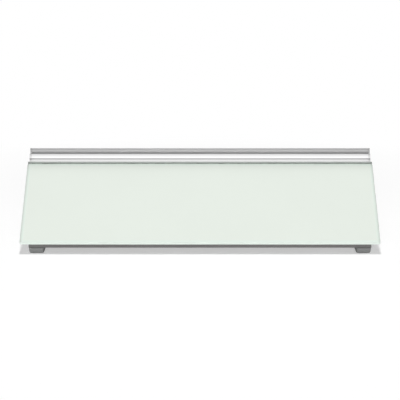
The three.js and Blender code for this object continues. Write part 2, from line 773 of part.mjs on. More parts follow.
place("bottom_cover", bottomCover(), materials.housing);
coverScrews.forEach(([x, y], i) => {
  const seat = coverBottom + SCREW_HEAD_HEIGHT;
  const fixing = screw(cupTop + COVER_SCREW_REACH - seat);
  place("cover_screw_" + (i + 1), fixing, materials.steel).position.set(x, y, seat);
});
RAIL_SCREW_PLACE_SHARES.forEach((share, i) => {
  const seat = shoulderTop - HOUSING_WALL - SEAT_GAP;
  const fixing = screw(railBottom + RAIL_SKIN + RAIL_SCREW_REACH - seat - SEAT_GAP);
  const x = share * housingWidth;
  place("rail_screw_" + (i + 1), fixing, materials.steel).position.set(x, railScrewY, seat);
});

// Drawers: a tray open along its sloping top, and a front with a finger pull
const drawerScrews = placeInMouth(DRAWER_SCREW_PLACE_SHARES);

// A round bar lying along X
function bar(y, z, from, to, radius) {
  const turned = new THREE.CylinderGeometry(radius, radius, Math.abs(to - from), ROUND_STEPS);
  turned.rotateZ(Math.PI / 2);
  turned.translate((from + to) / 2, y, z);
  return solid(turned);
}

function tray() {
  const outer = alongX(
    mouthSide(DRAWER_CLEARANCE, drawerFloor, MOUTH_CORNER_RADIUS),
    drawerInnerEnd,
    drawerOuterEnd,
  );
  const wall = DRAWER_WALL;
  const high = shoulderTop + OVERRUN;
  const front = mouth.front + DRAWER_CLEARANCE + wall;
  const rear = mouth.rear - DRAWER_CLEARANCE - wall;
  const hollow = alongX(
    outline([
      [front, drawerFloor + wall, MOUTH_CORNER_RADIUS],
      [front, high],
      [rear, high],
      [rear, drawerFloor + wall, MOUTH_CORNER_RADIUS],
    ]),
    drawerInnerEnd + wall,
    drawerOuterEnd - wall,
  );
  const tab = block(
    [drawerInnerEnd, stopMiddle - STOP_WIDTH / 2, drawerFloor - STOP_TAB_DEPTH],
    [drawerInnerEnd + wall, stopMiddle + STOP_WIDTH / 2, drawerFloor + wall / 2],
  );
  const screwHoles = drawerScrews.map((y) =>
    bar(y, DRAWER_SCREW_HEIGHT, drawerOuterEnd - wall - OVERRUN, halfHousing, shankHole),
  );
  return cutAll(outer.subtract(hollow).add(tab), screwHoles);
}

function drawerFront() {
  const inner = halfHousing - DRAWER_FRONT_THICKNESS;
  const panel = alongX(
    mouthSide(DRAWER_FRONT_CLEARANCE, mouth.bottom + DRAWER_FRONT_CLEARANCE),
    inner,
    halfHousing,
  );
  const middle = (mouth.front + mouth.rear) / 2;
  const root = halfHousing - DRAWER_FRONT_THICKNESS / 2;
  const reach = halfHousing + PULL_REACH;
  const pullPlan = (inset) => {
    const shape = new THREE.Shape();
    const half = PULL_WIDTH / 2 - inset;
    shape.moveTo(root, middle - half);
    const face = reach - inset;
    shape.bezierCurveTo(face, middle - half, face, middle - half / 2, face, middle);
    shape.bezierCurveTo(face, middle + half / 2, face, middle + half, root, middle + half);
    shape.closePath();
    return shape;
  };
  const bottom = PULL_HEIGHT - PULL_THICKNESS - PULL_HOOK;
  const grip = alongZ(pullPlan(0), bottom, PULL_HEIGHT, CURVE_STEPS);
  const underside = PULL_HEIGHT - PULL_THICKNESS;
  const under = alongZ(pullPlan(PULL_THICKNESS), bottom - OVERRUN, underside, CURVE_STEPS);
  const pilots = drawerScrews.map((y) =>
    bar(y, DRAWER_SCREW_HEIGHT, inner - OVERRUN, inner + DRAWER_SCREW_BITE + SEAT_GAP, shankHole),
  );
  const body = cutAll(panel.add(grip), pilots);
  return body.subtract(under.subtract(block([0, 0, 0], [halfHousing, rearTop, shoulderTop])));
}

// The left drawer is the right one's mirror image
for (const [word, side] of SIDES) {
  place(word + "_drawer_tray", tray(), materials.tray).scale.x = side;
  place(word + "_drawer_front", drawerFront(), materials.housing).scale.x = side;
  drawerScrews.forEach((y, i) => {
    const seat = drawerOuterEnd - DRAWER_WALL - SEAT_GAP;
    const fixing = screw(drawerOuterEnd + SEAT_GAP + DRAWER_SCREW_BITE - seat);
    const mesh = place(word + "_drawer_screw_" + PLACE_NAMES[i], fixing, materials.steel);
    mesh.rotation.y = (side * Math.PI) / 2;
    mesh.position.set(side * seat, y, DRAWER_SCREW_HEIGHT);
  });
  runnerPlaces.forEach((y, i) => {
    const name = word + "_runner_" + PLACE_NAMES[i];
    place(name, runner(y), materials.runner).scale.x = side;
  });
}

export default whiteboard;
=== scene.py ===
"""Desktop glass whiteboard on a pale studio floor.

A tilted pane of back-painted glass on a moulded wedge housing, with an extruded marker and phone
rail along its top edge, four feet and a pull-out drawer at each end.  Every piece is built in the
board's own frame: +X along the board, +Y away from the writer, +Z up.
"""

import math

import bmesh
import bpy
from mathutils import Matrix, Vector


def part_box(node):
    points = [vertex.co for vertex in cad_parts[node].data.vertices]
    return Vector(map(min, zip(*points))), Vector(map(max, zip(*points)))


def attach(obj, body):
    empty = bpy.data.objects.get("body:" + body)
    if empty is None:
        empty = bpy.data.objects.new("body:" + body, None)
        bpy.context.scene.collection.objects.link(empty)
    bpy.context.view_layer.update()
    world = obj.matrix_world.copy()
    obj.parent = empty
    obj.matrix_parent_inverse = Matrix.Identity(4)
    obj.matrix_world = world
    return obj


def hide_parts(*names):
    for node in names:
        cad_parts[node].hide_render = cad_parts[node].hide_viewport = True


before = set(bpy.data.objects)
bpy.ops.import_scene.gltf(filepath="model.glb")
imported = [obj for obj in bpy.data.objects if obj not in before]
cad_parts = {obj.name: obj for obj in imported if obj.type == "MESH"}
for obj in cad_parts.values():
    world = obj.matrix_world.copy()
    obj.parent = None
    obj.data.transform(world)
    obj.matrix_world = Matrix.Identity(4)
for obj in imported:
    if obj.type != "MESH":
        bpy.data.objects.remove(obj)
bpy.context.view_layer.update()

MM = 0.001

# Fits
SEAT_GAP = 0.3 * MM
CLOSE_GAP = 0.06 * MM
OVERRUN = 6 * MM

# Glass pane
TILT = math.radians(30)
RISE = math.sin(TILT)
RUN = math.cos(TILT)
GLASS_LENGTH = 152.4 * MM
GLASS_THICKNESS = 4 * MM
GLASS_CORNER_RADIUS = 2.5 * MM
GLASS_CHAMFER = 0.5 * MM
GLASS_EASE = 0.18 * MM

# Rail section
RAIL_DROP = 8.2 * MM
RAIL_DEPTH = 37.3 * MM
RAIL_SKIN = 2 * MM
RAIL_BORE_REACH = 3 * MM
LIP_HEIGHT = 2.7 * MM
LIP_THICKNESS = 1.8 * MM
LIP_RETURN = 1.55 * MM
TROUGH_REACH = 22 * MM
TROUGH_SAG = 2.2 * MM
TROUGH_PULL = 5.5 * MM
STEP_HEIGHT = 2.1 * MM
COVE_DEPTH = 3.3 * MM
COVE_HEIGHT = 4.95 * MM
WALL_EDGE_RADIUS = 0.3 * MM
SLOT_FRONT_THICKNESS = 1.8 * MM
SLOT_WIDTH = 8.2 * MM
SLOT_FLOOR_RADIUS = 1.4 * MM
BACK_WALL_RISE = 6 * MM
HEM_HEIGHT = 1.8 * MM
HEM_DEPTH = 0.55 * MM
RECESS_SHARES = (0.33, 0.4)
RECESS_STEPS = 12
COVE_STEPS = 24
TROUGH_STEPS = 48
CHAMBER_RADIUS = 0.8 * MM
RAIL_EASE = 0.22 * MM
RAIL_END_EASE = 0.15 * MM
CAP_EASE = 0.2 * MM
CAP_FACE_ROUND = 0.5 * MM
CAP_TOP_SHARPNESS = 3
CAP_PEG_LENGTH = 5 * MM
LINER_THICKNESS = 1.2 * MM
LINER_RIBS = 7
LINER_RIB_HEIGHT = 0.4 * MM
LINER_RIB_SHARES = (0.12, 0.25)

# Screws: the head's profile is given as shares of its height and of its radius
SCREW_CORE_RADIUS = 1.15 * MM
SCREW_CREST_RADIUS = 1.5 * MM
SCREW_PITCH = 1.0 * MM
SCREW_HEAD_RADIUS = 2.9 * MM
SCREW_HEAD_HEIGHT = 2 * MM
SCREW_HEAD_HEIGHTS = (1, 0.93, 0.78, 0.55, 0.35, 0.06, 0)
SCREW_HEAD_RADII = (0.62, 0.75, 0.88, 0.97, 1, 1, 0.97)
SCREW_TIP_LENGTH = 0.9 * MM
SCREW_TIP_SHARE = 0.25
SCREW_SOCKET_RADIUS = 1.0 * MM
SCREW_SOCKET_DEPTH = 1.1 * MM
THREAD_START = 0.5 * MM
THREAD_MARGIN = 0.8 * MM
THREAD_STEPS = 16
THREAD_RUN_IN = 8
THREAD_ROOT_SHARE = 0.96
THREAD_HALF_SHARE = 0.34
THREAD_SHARPNESS = 5
SHANK_HOLE = 1.8 * MM
HEAD_HOLE = 3.2 * MM

# Housing and bottom cover
HOUSING_SETBACK = 4 * MM
HOUSING_WALL = 2.5 * MM
WEB_ROOT = HOUSING_WALL / 2
HOUSING_REAR_DRAFT = 4 * MM
HOUSING_REAR_INSET = 0.6 * MM
HOUSING_EDGE_RADIUS = 1.2 * MM
HOUSING_RIM_RADIUS = 0.25 * MM
HOUSING_END_ROUND = 0.5 * MM
DECK_DROP = 2.4 * MM
RIB_THICKNESS = 1.6 * MM
DECK_RIB_DEPTH = 5 * MM
DECK_RIB_SPACING = 36 * MM
BAY_FRONT = 44 * MM
BAY_END = 20 * MM
COVER_RECESS = 0.3 * MM
COVER_THICKNESS = 2.5 * MM
COVER_CORNER_RADIUS = 3 * MM
COVER_EASE = 0.4 * MM
SCREW_CUP_RADIUS = 5 * MM
SCREW_CUP_RISE = 2.6 * MM
FOOT_BOSS_RADIUS = 4.5 * MM
FOOT_BOSS_RISE = 1.5 * MM
BOSS_RADIUS = 4 * MM
BOSS_BORE_DEPTH = 6 * MM

# Feet and soles
FOOT_DRAFT = 1 * MM
FOOT_BEVEL_WIDTH = 2.6 * MM
FOOT_BEVEL_LENGTH = 5.5 * MM
FOOT_CORNER_RADIUS = 1.8 * MM
FOOT_TOP_ROUND = 0.9 * MM
FOOT_UPRIGHT_RADIUS = 0.7 * MM
SOLE_THICKNESS = 1.5 * MM
SOLE_MARGIN = 2.8 * MM
SOLE_EASE = 0.3 * MM
SOLE_GROOVES = 6
SOLE_GROOVE_WIDTH = 0.9 * MM
SOLE_GROOVE_DEPTH = 0.4 * MM

# Drawers and runners
DRAWER_WALL = 2 * MM
DRAWER_CLEARANCE = 0.8 * MM
MOUTH_MARGIN = 4 * MM
MOUTH_SILL = 0.8 * MM
MOUTH_HEADROOM = 9 * MM
MOUTH_CORNER_RADIUS = 3 * MM
MOUTH_LIP = 0.5 * MM
FRONT_CLEARANCE = 0.5 * MM
FRONT_THICKNESS = 3 * MM
FRONT_EASE = 0.7 * MM
PULL_WIDTH = 56 * MM
PULL_REACH = 7.5 * MM
PULL_THICKNESS = 2.4 * MM
PULL_HOOK = 4 * MM
PULL_HEIGHT = 34 * MM
PULL_EASE = 0.8 * MM
PULL_STEPS = 16
TRAY_EASE = 0.4 * MM
STOP_LENGTH = 4 * MM
STOP_WIDTH = 22 * MM
STOP_HEIGHT = 1.6 * MM
STOP_GAP = 0.5 * MM
STOP_TAB_DEPTH = 1.5 * MM
DRAWER_TRAVEL = 150 * MM
RUNNER_HEIGHT = 1.5 * MM
RUNNER_PEG_RADIUS = 1.6 * MM
RUNNER_PEG_SHARES = (-0.4, 0.4)

# Places read from the frame
glass_low, glass_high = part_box("glass_panel")
rail_low, rail_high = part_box("top_rail")
housing_low, housing_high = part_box("housing")
CAP_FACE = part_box("rail_end_cap_right")[1].x
HALF_GLASS = glass_high.x
SIDES = (("left", -1), ("right", 1))
GLASS_FRONT = Vector((0, 0, glass_low.z - GLASS_CHAMFER * RISE))
GLASS_FRONT.y = glass_low.y + (GLASS_THICKNESS - GLASS_CHAMFER) * RISE
RAIL_ORIGIN = Vector((0, rail_high.y - RAIL_DEPTH, rail_low.z + RAIL_DROP))


def middles(prefix):
    """The middles of the nodes whose names begin alike."""
    boxes = [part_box(name) for name in sorted(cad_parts) if name.startswith(prefix)]
    return [(low + high) / 2 for low, high in boxes]


def measured(name):
    """A node's two corners, its middle, and half its size along X and Y."""
    low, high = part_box(name)
    return low, high, (low + high) / 2, (high.x - low.x) / 2, (high.y - low.y) / 2


# Outlines: closed lists of (across, up) points, running anticlockwise
MITRE_LIMIT = 0.3


def eased(corners, steps=6):
    """The outline through corners (across, up, radius), each rounded by a true arc."""
    points = []
    for i, (a, b, radius) in enumerate(corners):
        corner = Vector((a, b))
        if radius <= 0:
            points.append(corner)
            continue
        back = (Vector(corners[i - 1][:2]) - corner).normalized()
        ahead = (Vector(corners[(i + 1) % len(corners)][:2]) - corner).normalized()
        half = math.acos(max(-1, min(1, back.dot(ahead)))) / 2
        reach = radius / math.tan(half)
        middle = corner + (back + ahead).normalized() * (radius / math.sin(half))
        first = corner + back * reach - middle
        last = corner + ahead * reach - middle
        start = math.atan2(first.y, first.x)
        sweep = math.remainder(math.atan2(last.y, last.x) - start, 2 * math.pi)
        for step in range(steps + 1):
            angle = start + sweep * step / steps
            points.append(middle + Vector((math.cos(angle), math.sin(angle))) * radius)
    return points


def quadratic(start, control, end, steps):
    """Points between the two ends of a quadratic curve, each with no radius of its own."""
    start, control, end = Vector(start), Vector(control), Vector(end)
    shares = [step / steps for step in range(1, steps)]
    curve = [start * (1 - t) ** 2 + control * 2 * t * (1 - t) + end * t**2 for t in shares]
    return [(point.x, point.y, 0) for point in curve]


def anticlockwise(points):
    pairs = zip(points[-1:] + points, points)
    area = sum(before.x * point.y - point.x * before.y for before, point in pairs)
    return points if area > 0 else points[::-1]


def inset(points, distance):
    """The outline moved inwards by a distance, mitred at its corners."""
    moved = []
    for i, point in enumerate(points):
        before = (point - points[i - 1]).normalized()
        after = (points[(i + 1) % len(points)] - point).normalized()
        side = Vector((-before.y, before.x))
        mitre = (side + Vector((-after.y, after.x))).normalized()
        moved.append(point + mitre * (distance / max(MITRE_LIMIT, mitre.dot(side))))
    return moved


def rectangle(half_a, half_b, radius, steps=8):
    signs = ((-1, -1), (1, -1), (1, 1), (-1, 1))
    return eased([(a * half_a, b * half_b, radius) for a, b in signs], steps)


def disc(radius, steps=32):
    angles = [2 * math.pi * step / steps for step in range(steps)]
    return [Vector((math.cos(a), math.sin(a))) * radius for a in angles]


# Meshes
def linked(name, data):
    """A new object in the scene, for a mesh, a lamp or a camera."""
    made = bpy.data.objects.new(name, data)
    bpy.context.scene.collection.objects.link(made)
    return made


def loft(name, rings):
    """A closed body through rings that have the same number of points, with flat ends."""
    shell = bmesh.new()
    rows = [[shell.verts.new(point) for point in ring] for ring in rings]
    count = len(rows[0])
    for lower, upper in zip(rows, rows[1:]):
        for i in range(count):
            j = (i + 1) % count
            shell.faces.new((lower[i], lower[j], upper[j], upper[i]))
    shell.faces.new(rows[0][::-1])
    shell.faces.new(rows[-1])
    bmesh.ops.recalc_face_normals(shell, faces=shell.faces)
    data = bpy.data.meshes.new(name)
    shell.to_mesh(data)
    shell.free()
    return linked(name, data)


def quarter_round(radius, steps):
    """Pairs of (distance from the end face, inset) that round an end over."""
    if radius <= 0:
        return [(0, 0)]
    angles = [math.pi / 2 * step / steps for step in range(steps + 1)]
    return [(radius * (1 - math.cos(a)), radius * (1 - math.sin(a))) for a in angles]


def rounded_ends(start, end, rounds, steps):
    """Pairs of (place, inset) from a body's start to its end, with both edges rounded over."""
    first, last = (quarter_round(radius, count) for radius, count in zip(rounds, steps))
    levels = [(start + depth, give) for depth, give in first]
    return levels + [(end - depth, give) for depth, give in reversed(last)]


def sideways(name, sections, origin):
    """A body through side-view outlines, each given as (place along X, outline)."""
    rings = [
        [origin + Vector((x, point.x, point.y)) for point in outline] for x, outline in sections
    ]
    return loft(name, rings)


def along_x(name, points, start, end, origin, rounds=(0, 0)):
    """A side-view outline drawn out along X, its two end edges rounded over."""
    points = anticlockwise(points)
    levels = rounded_ends(start, end, rounds, (5, 5))
    return sideways(name, [(x, inset(points, give)) for x, give in levels], origin)


def upward(name, sections, middle=(0, 0)):
    """A body through plan outlines, each given as (height, outline)."""
    rings = [
        [Vector((middle[0] + point.x, middle[1] + point.y, height)) for point in plan]
        for height, plan in sections
    ]
    return loft(name, rings)


def slab(name, plan, low, high, middle=(0, 0), rounds=(0, 0), steps=(3, 3)):
    """A plan outline drawn upwards, its lower and upper edges rounded over."""
    levels = rounded_ends(low, high, rounds, steps)
    return upward(name, [(height, inset(plan, give)) for height, give in levels], middle)


def turned(name, levels, middle=(0, 0), steps=32):
    """An upright round body through levels, each given as (height, radius)."""
    return upward(name, [(height, disc(radius, steps)) for height, radius in levels], middle)


def bore(low, high, middle, radius=SHANK_HOLE):
    return turned("bore", [(low, radius), (high, radius)], middle)


def screw_hole(low, seat, high, middle=(0, 0)):
    """A shank's hole that is wider for the screw's head, up to its seat."""
    levels = [(low, HEAD_HOLE), (seat, HEAD_HOLE), (seat, SHANK_HOLE), (high, SHANK_HOLE)]
    return turned("screw_hole", levels, middle)


def block(low, high):
    """A box between two corners."""
    half_x, half_y = (high[0] - low[0]) / 2, (high[1] - low[1]) / 2
    middle = (low[0] + half_x, low[1] + half_y)
    return slab("block", rectangle(half_x, half_y, 0), low[2], high[2], middle)


def together(pieces):
    """Several bodies as one mesh."""
    merged = bmesh.new()
    for piece in pieces:
        merged.from_mesh(piece.data)
    merged.to_mesh(pieces[0].data)
    merged.free()
    for piece in pieces[1:]:
        bpy.data.objects.remove(piece)
    return pieces[0]


def mirrored(piece, side, depth=1):
    """The piece itself, or its mirror image across X or Y where a sign is negative."""
    piece.data.transform(Matrix.Diagonal((side, depth, 1, 1)))
    if side * depth < 0:
        piece.data.flip_normals()
    return piece


def settle(piece):
    """Makes a piece's modifier part of its mesh."""
    depsgraph = bpy.context.evaluated_depsgraph_get()
    piece.data = bpy.data.meshes.new_from_object(piece.evaluated_get(depsgraph))
    piece.modifiers.clear()


def combine(piece, others, operation):
    """Changes a piece by other bodies, one after another, and drops them."""
    for other in others:
        change = piece.modifiers.new("Combine", "BOOLEAN")
        change.object = other
        change.operation = operation
        change.solver = "EXACT"
        settle(piece)
        bpy.data.objects.remove(other)
    return piece


def cut(piece, *others):
    return combine(piece, others, "DIFFERENCE")


def join(piece, *others):
    return combine(piece, others, "UNION")


def soften(piece, angle=28, bevel=0):
    """Rounds sharp edges by a bevel, where one is given, and shades the rest smooth."""
    if bevel > 0:
        change = piece.modifiers.new("Bevel", "BEVEL")
        change.width = bevel
        change.segments = 2
        change.limit_method = "ANGLE"
        change.angle_limit = math.radians(angle)
        settle(piece)
    piece.data.shade_smooth()
    piece.data.set_sharp_from_angle(angle=math.radians(angle))
    return piece


# Material nodes: an input is a value or another node's output
def feed(socket, value):
    """Sets an input, or links an output to it."""
    if isinstance(value, bpy.types.NodeSocket):
        socket.id_data.links.new(value, socket)
    else:
        socket.default_value = value


def node(tree, kind, inputs=None, **settings):
    made = tree.nodes.new("ShaderNode" + kind)
    for key, value in settings.items():
        setattr(made, key, value)
    for key, value in (inputs or {}).items():
        feed(made.inputs[key], value)
    return made


def noise(place, size, detail=4, roughness=0.5):
    """A soft pattern whose features are about as large as the size."""
    inputs = {"Vector": place, "Scale": 1 / size, "Detail": detail, "Roughness": roughness}
    return node(place.id_data, "TexNoise", inputs).outputs["Fac"]


def spread(value, low, high, from_low=0.3, from_high=0.7):
    """Maps a noise's middle range, or a given one, to the range from low to high."""
    names = ("Value", "From Min", "From Max", "To Min", "To Max")
    inputs = dict(zip(names, (value, from_low, from_high, low, high)))
    return node(value.id_data, "MapRange", inputs).outputs["Result"]


def blend(share, first, second):
    """A colour between two colours."""
    inputs = {0: share, 6: first, 7: second}
    return node(share.id_data, "Mix", inputs, data_type="RGBA").outputs[2]


def maths(operation, first, second=0.0):
    output = first if isinstance(first, bpy.types.NodeSocket) else second
    inputs = {0: first, 1: second}
    return node(output.id_data, "Math", inputs, operation=operation).outputs[0]


def bump(height, strength, distance):
    inputs = {"Height": height, "Strength": strength, "Distance": distance}
    return node(height.id_data, "Bump", inputs).outputs["Normal"]


def apart(vector):
    """A vector's three parts."""
    return node(vector.id_data, "SeparateXYZ", {"Vector": vector}).outputs


def stretched(place, scale):
    """Coordinates scaled by different amounts along each axis."""
    inputs = {"Vector": place, "Scale": scale}
    return node(place.id_data, "Mapping", inputs).outputs["Vector"]


def turn_of_surface(tree):
    """Nought on faces square to an axis, rising to one on what is rounded or slants."""
    parts = apart(node(tree, "NewGeometry").outputs["Normal"])
    sizes = [maths("ABSOLUTE", parts[axis]) for axis in "XYZ"]
    largest = maths("MAXIMUM", maths("MAXIMUM", sizes[0], sizes[1]), sizes[2])
    return spread(largest, 1, 0, ROUNDED_FACE, FLAT_FACE)


def grey(value, tint=(1, 1, 1)):
    return (value * tint[0], value * tint[1], value * tint[2], 1)


def toned(colour, factor, lift=0):
    """A colour made paler or deeper."""
    return tuple(min(1, channel * factor + lift) for channel in colour[:3]) + (1,)


def mottled(pattern, colour, deep, pale):
    """A colour that wanders between a deeper and a paler tone of it."""
    return blend(spread(pattern, 0, 1), toned(colour, deep), toned(colour, pale))


def set_shader(material, inputs):
    """Sets or links inputs of a material's shader."""
    shader = material.node_tree.nodes["Principled BSDF"]
    for key, value in inputs.items():
        feed(shader.inputs[key], value)
    return material


def principled(name, values):
    """A new material with what is even over its surface, and its coordinates."""
    material = bpy.data.materials.new(name)
    material.use_nodes = True
    set_shader(material, values)
    return material, node(material.node_tree, "TexCoord").outputs["Object"]


def finish(material, colour, roughness, normal, glow=0.0):
    """Gives a material what changes over its surface."""
    names = ("Base Color", "Roughness", "Normal", "Emission Strength")
    return set_shader(material, dict(zip(names, (colour, roughness, normal, glow))))


# Materials: what counts as a flat or a rounded face, and the size of each pattern
FLAT_FACE = 0.98
ROUNDED_FACE = 0.72
LINE_STRETCH = (0.0015, 1, 1)
BROAD_STRETCH = (0.05, 1, 1)
BROAD_SHARE = 0.1
CLOUD_SIZE = 60 * MM
RUBBED_SIZE = 7 * MM
BROAD_STREAK_SIZE = 2.5 * MM
MOTTLE_SIZE = 0.9 * MM
DUST_SIZE = 6 * MM
CELL_SIZE = 0.35 * MM
PEEL_SIZE = 1.4 * MM
SHEET_CLOUD_SIZE = 50 * MM
GLASS_CLOUD_SIZE = 90 * MM
HAZE_SIZE = 22 * MM
WAVE_SIZE = 35 * MM


def moulded(name, colour, gloss, grain=0.45 * MM, relief=0.12 * MM, wear=0.06, rub=0.12):
    """Spark-textured moulded plastic: a fine grain, faint clouding and slightly rubbed edges."""
    material, place = principled(name, {"IOR": 1.5, "Specular IOR Level": 0.45})
    fine = noise(place, grain, 3, 0.55)
    tone = mottled(noise(place, CLOUD_SIZE, 3), colour, 1 - wear, 1 + wear)
    speck = blend(spread(fine, 0, 0.7), tone, toned(colour, 1 + wear))
    patchy = spread(noise(place, RUBBED_SIZE, 4, 0.6), 0.35, 1)
    edge = maths("MULTIPLY", turn_of_surface(place.id_data), patchy)
    worn = blend(edge, speck, toned(colour, 1 + rub))
    return finish(material, worn, spread(fine, gloss + 0.08, gloss - 0.08), bump(fine, 0.9, relief))


def brushed(name, colour, rough, streak=0.28 * MM, relief=0.012 * MM):
    """Satin metal with fine lines drawn along X."""
    material, place = principled(name, {"Metallic": 1.0})
    lines = noise(stretched(place, LINE_STRETCH), streak, 4, 0.6)
    broad = noise(stretched(place, BROAD_STRETCH), BROAD_STREAK_SIZE, 2)
    mixed = maths("ADD", maths("MULTIPLY", broad, BROAD_SHARE), lines)
    uneven = spread(mixed, rough - 0.03, rough + 0.03, 0.35, 0.75)
    return finish(material, mottled(lines, colour, 0.95, 1.04), uneven, bump(lines, 0.6, relief))


def turned_steel(name, colour, rough):
    """Zinc-plated steel: pale, slightly mottled."""
    material, place = principled(name, {"Metallic": 1.0})
    mottle = noise(place, MOTTLE_SIZE, 4, 0.6)
    tone = mottled(mottle, colour, 0.86, 1.08)
    uneven = spread(mottle, rough - 0.07, rough + 0.1)
    return finish(material, tone, uneven, bump(mottle, 0.2, 0.01 * MM))


def rubber(name, colour, rough, grain, relief):
    """Matt rubber with a fine grain and a little dust."""
    material, place = principled(name, {"IOR": 1.5, "Specular IOR Level": 0.3})
    fine = noise(place, grain, 4, 0.6)
    dust = spread(noise(place, DUST_SIZE, 4, 0.6), 0, 0.6)
    tone = blend(dust, colour, toned(colour, 1.5, 0.006))
    return finish(material, tone, spread(fine, rough + 0.06, rough - 0.1), bump(fine, 0.7, relief))


def foam(name, colour):
    """Closed-cell foam tape: small cells with darker walls."""
    material, place = principled(name, {"IOR": 1.4, "Specular IOR Level": 0.2})
    inputs = {"Vector": place, "Scale": 1 / CELL_SIZE}
    voronoi = node(place.id_data, "TexVoronoi", inputs, feature="DISTANCE_TO_EDGE")
    cells = voronoi.outputs["Distance"]
    tone = blend(spread(cells, 0, 1, 0, 0.3), toned(colour, 0.78), colour)
    return finish(material, tone, spread(cells, 0.95, 0.8, 0, 0.4), bump(cells, 0.8, 0.06 * MM))


def enamel(name, colour, rough):
    """White enamelled sheet with a very faint orange-peel surface."""
    material, place = principled(name, {"IOR": 1.5})
    peel = bump(noise(place, PEEL_SIZE, 2), 0.15, 0.02 * MM)
    cloud = noise(place, SHEET_CLOUD_SIZE, 3)
    uneven = spread(cloud, rough, rough + 0.08)
    return finish(material, mottled(cloud, colour, 0.96, 1), uneven, peel)


FACE_LEVEL = 0.93
FACE_CLOUDING = 0.985
MINT_LEVEL = 0.93
EDGE_LEVEL = 0.8
# The cut edge's level, glow and tint are painted light: the glass's green made pale, plus a faint
# emission, on the pane's edge.
CUT_EDGE_PAINTED_LIGHT_LEVEL = 0.95
CUT_EDGE_PAINTED_GLOW = 0.1
FACE_TINT = (0.775, 0.835, 0.765)
MINT_TINT = (0.755, 0.85, 0.775)
EDGE_TINT = (0.655, 0.72, 0.665)
CUT_EDGE_PAINTED_LIGHT_TINT = (0.91, 1, 0.93)
EDGE_BAND = 3.6 * MM
MINT_BAND = 4.6 * MM
MINT_FULL_SHARE = 0.75
# Painted shade on the glass just below the rail's lip: how deep it is, how far it fades, and the
# distance over which it builds up from the lip.
LIP_PAINTED_SHADE = 0.34
LIP_PAINTED_SHADE_REACH = 6.5 * MM
LIP_PAINTED_SHADE_START = 2.8 * MM


def back_painted_glass():
    """Float glass painted white behind: greener near its edges, painted shade under the rail's lip,
    painted light on the cut edge.
    """
    # The emission colour is the cut edge's painted glow.
    values = {"IOR": 1.52, "Emission Color": grey(1, CUT_EDGE_PAINTED_LIGHT_TINT)}
    material, board_place = principled("back_painted_glass", values)
    inputs = {"Vector": board_place, "Location": GLASS_FRONT, "Rotation": (TILT, 0, 0)}
    flat = node(board_place.id_data, "Mapping", inputs, vector_type="TEXTURE")
    place = flat.outputs["Vector"]
    parts = apart(place)
    from_side = maths("SUBTRACT", HALF_GLASS, maths("ABSOLUTE", parts["X"]))
    from_top = maths("SUBTRACT", GLASS_LENGTH, parts["Y"])
    nearest = maths("MINIMUM", from_side, maths("MINIMUM", parts["Y"], from_top))
    face = mottled(noise(place, GLASS_CLOUD_SIZE, 3), grey(FACE_LEVEL, FACE_TINT), FACE_CLOUDING, 1)
    mint = spread(nearest, 1, 0, MINT_BAND * MINT_FULL_SHARE, MINT_BAND)
    banded = blend(mint, face, grey(MINT_LEVEL, MINT_TINT))
    edge = spread(from_side, 1, 0, 0, EDGE_BAND)
    bordered = blend(edge, banded, grey(EDGE_LEVEL, EDGE_TINT))
    # Painted shade: the face colour is blended towards black just below the lip, building up over a
    # short start and fading with distance.
    fade = maths("EXPONENT", maths("DIVIDE", from_top, -LIP_PAINTED_SHADE_REACH))
    start = spread(from_top, 0, LIP_PAINTED_SHADE, 0, LIP_PAINTED_SHADE_START)
    shaded = blend(maths("MULTIPLY", fade, start), bordered, grey(0))
    # Painted light on the cut edge along the pane's lower side: a pale tone and a faint emission.
    low, high = GLASS_THICKNESS - GLASS_CHAMFER, GLASS_THICKNESS - GLASS_CHAMFER / 2
    low_side = spread(parts["Z"], 1, 0, low, high)
    tone = blend(low_side, shaded, grey(CUT_EDGE_PAINTED_LIGHT_LEVEL, CUT_EDGE_PAINTED_LIGHT_TINT))
    glow = maths("MULTIPLY", low_side, CUT_EDGE_PAINTED_GLOW)
    haze = spread(noise(place, HAZE_SIZE, 5, 0.6), 0.05, 0.11)
    wave = bump(noise(place, WAVE_SIZE, 2), 0.05, 0.05 * MM)
    return finish(material, tone, haze, wave, glow)


GLASS = back_painted_glass()
BACKING = enamel("white_enamel", grey(0.8, (1, 1.01, 0.99)), 0.35)
TAPE = foam("foam_tape", grey(0.72, (1, 1, 0.95)))
RAIL = brushed("satin_aluminium", grey(0.64), 0.34)
CAP = brushed("satin_cap", grey(0.53), 0.36, 0.25 * MM, 0.008 * MM)
LINER = rubber("liner_rubber", grey(0.05), 0.75, 0.5 * MM, 0.03 * MM)
HOUSING = moulded("housing_plastic", grey(0.18, (1, 0.985, 0.975)), 0.5)
TRAY = moulded("tray_plastic", grey(0.13), 0.45)
RUNNER = moulded("runner_plastic", grey(0.72, (1, 1, 0.97)), 0.35, 0.6 * MM, 0.01 * MM, 0.03)
FOOT = moulded("foot_plastic", grey(0.265, (0.985, 1, 0.995)), 0.62, 0.55 * MM, 0.03 * MM)
SOLE = rubber("sole_rubber", grey(0.035), 0.85, 0.6 * MM, 0.05 * MM)
SCREW = turned_steel("zinc_plate", grey(0.62, (1, 1, 1.01)), 0.3)


def dress(piece, material):
    piece.data.materials.clear()
    piece.data.materials.append(material)


def stand_in(piece, material, slot, *names, body="board"):
    """Finishes a piece that stands for CAD nodes and rides on their body."""
    dress(piece, material)
    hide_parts(*names)
    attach(piece, body)


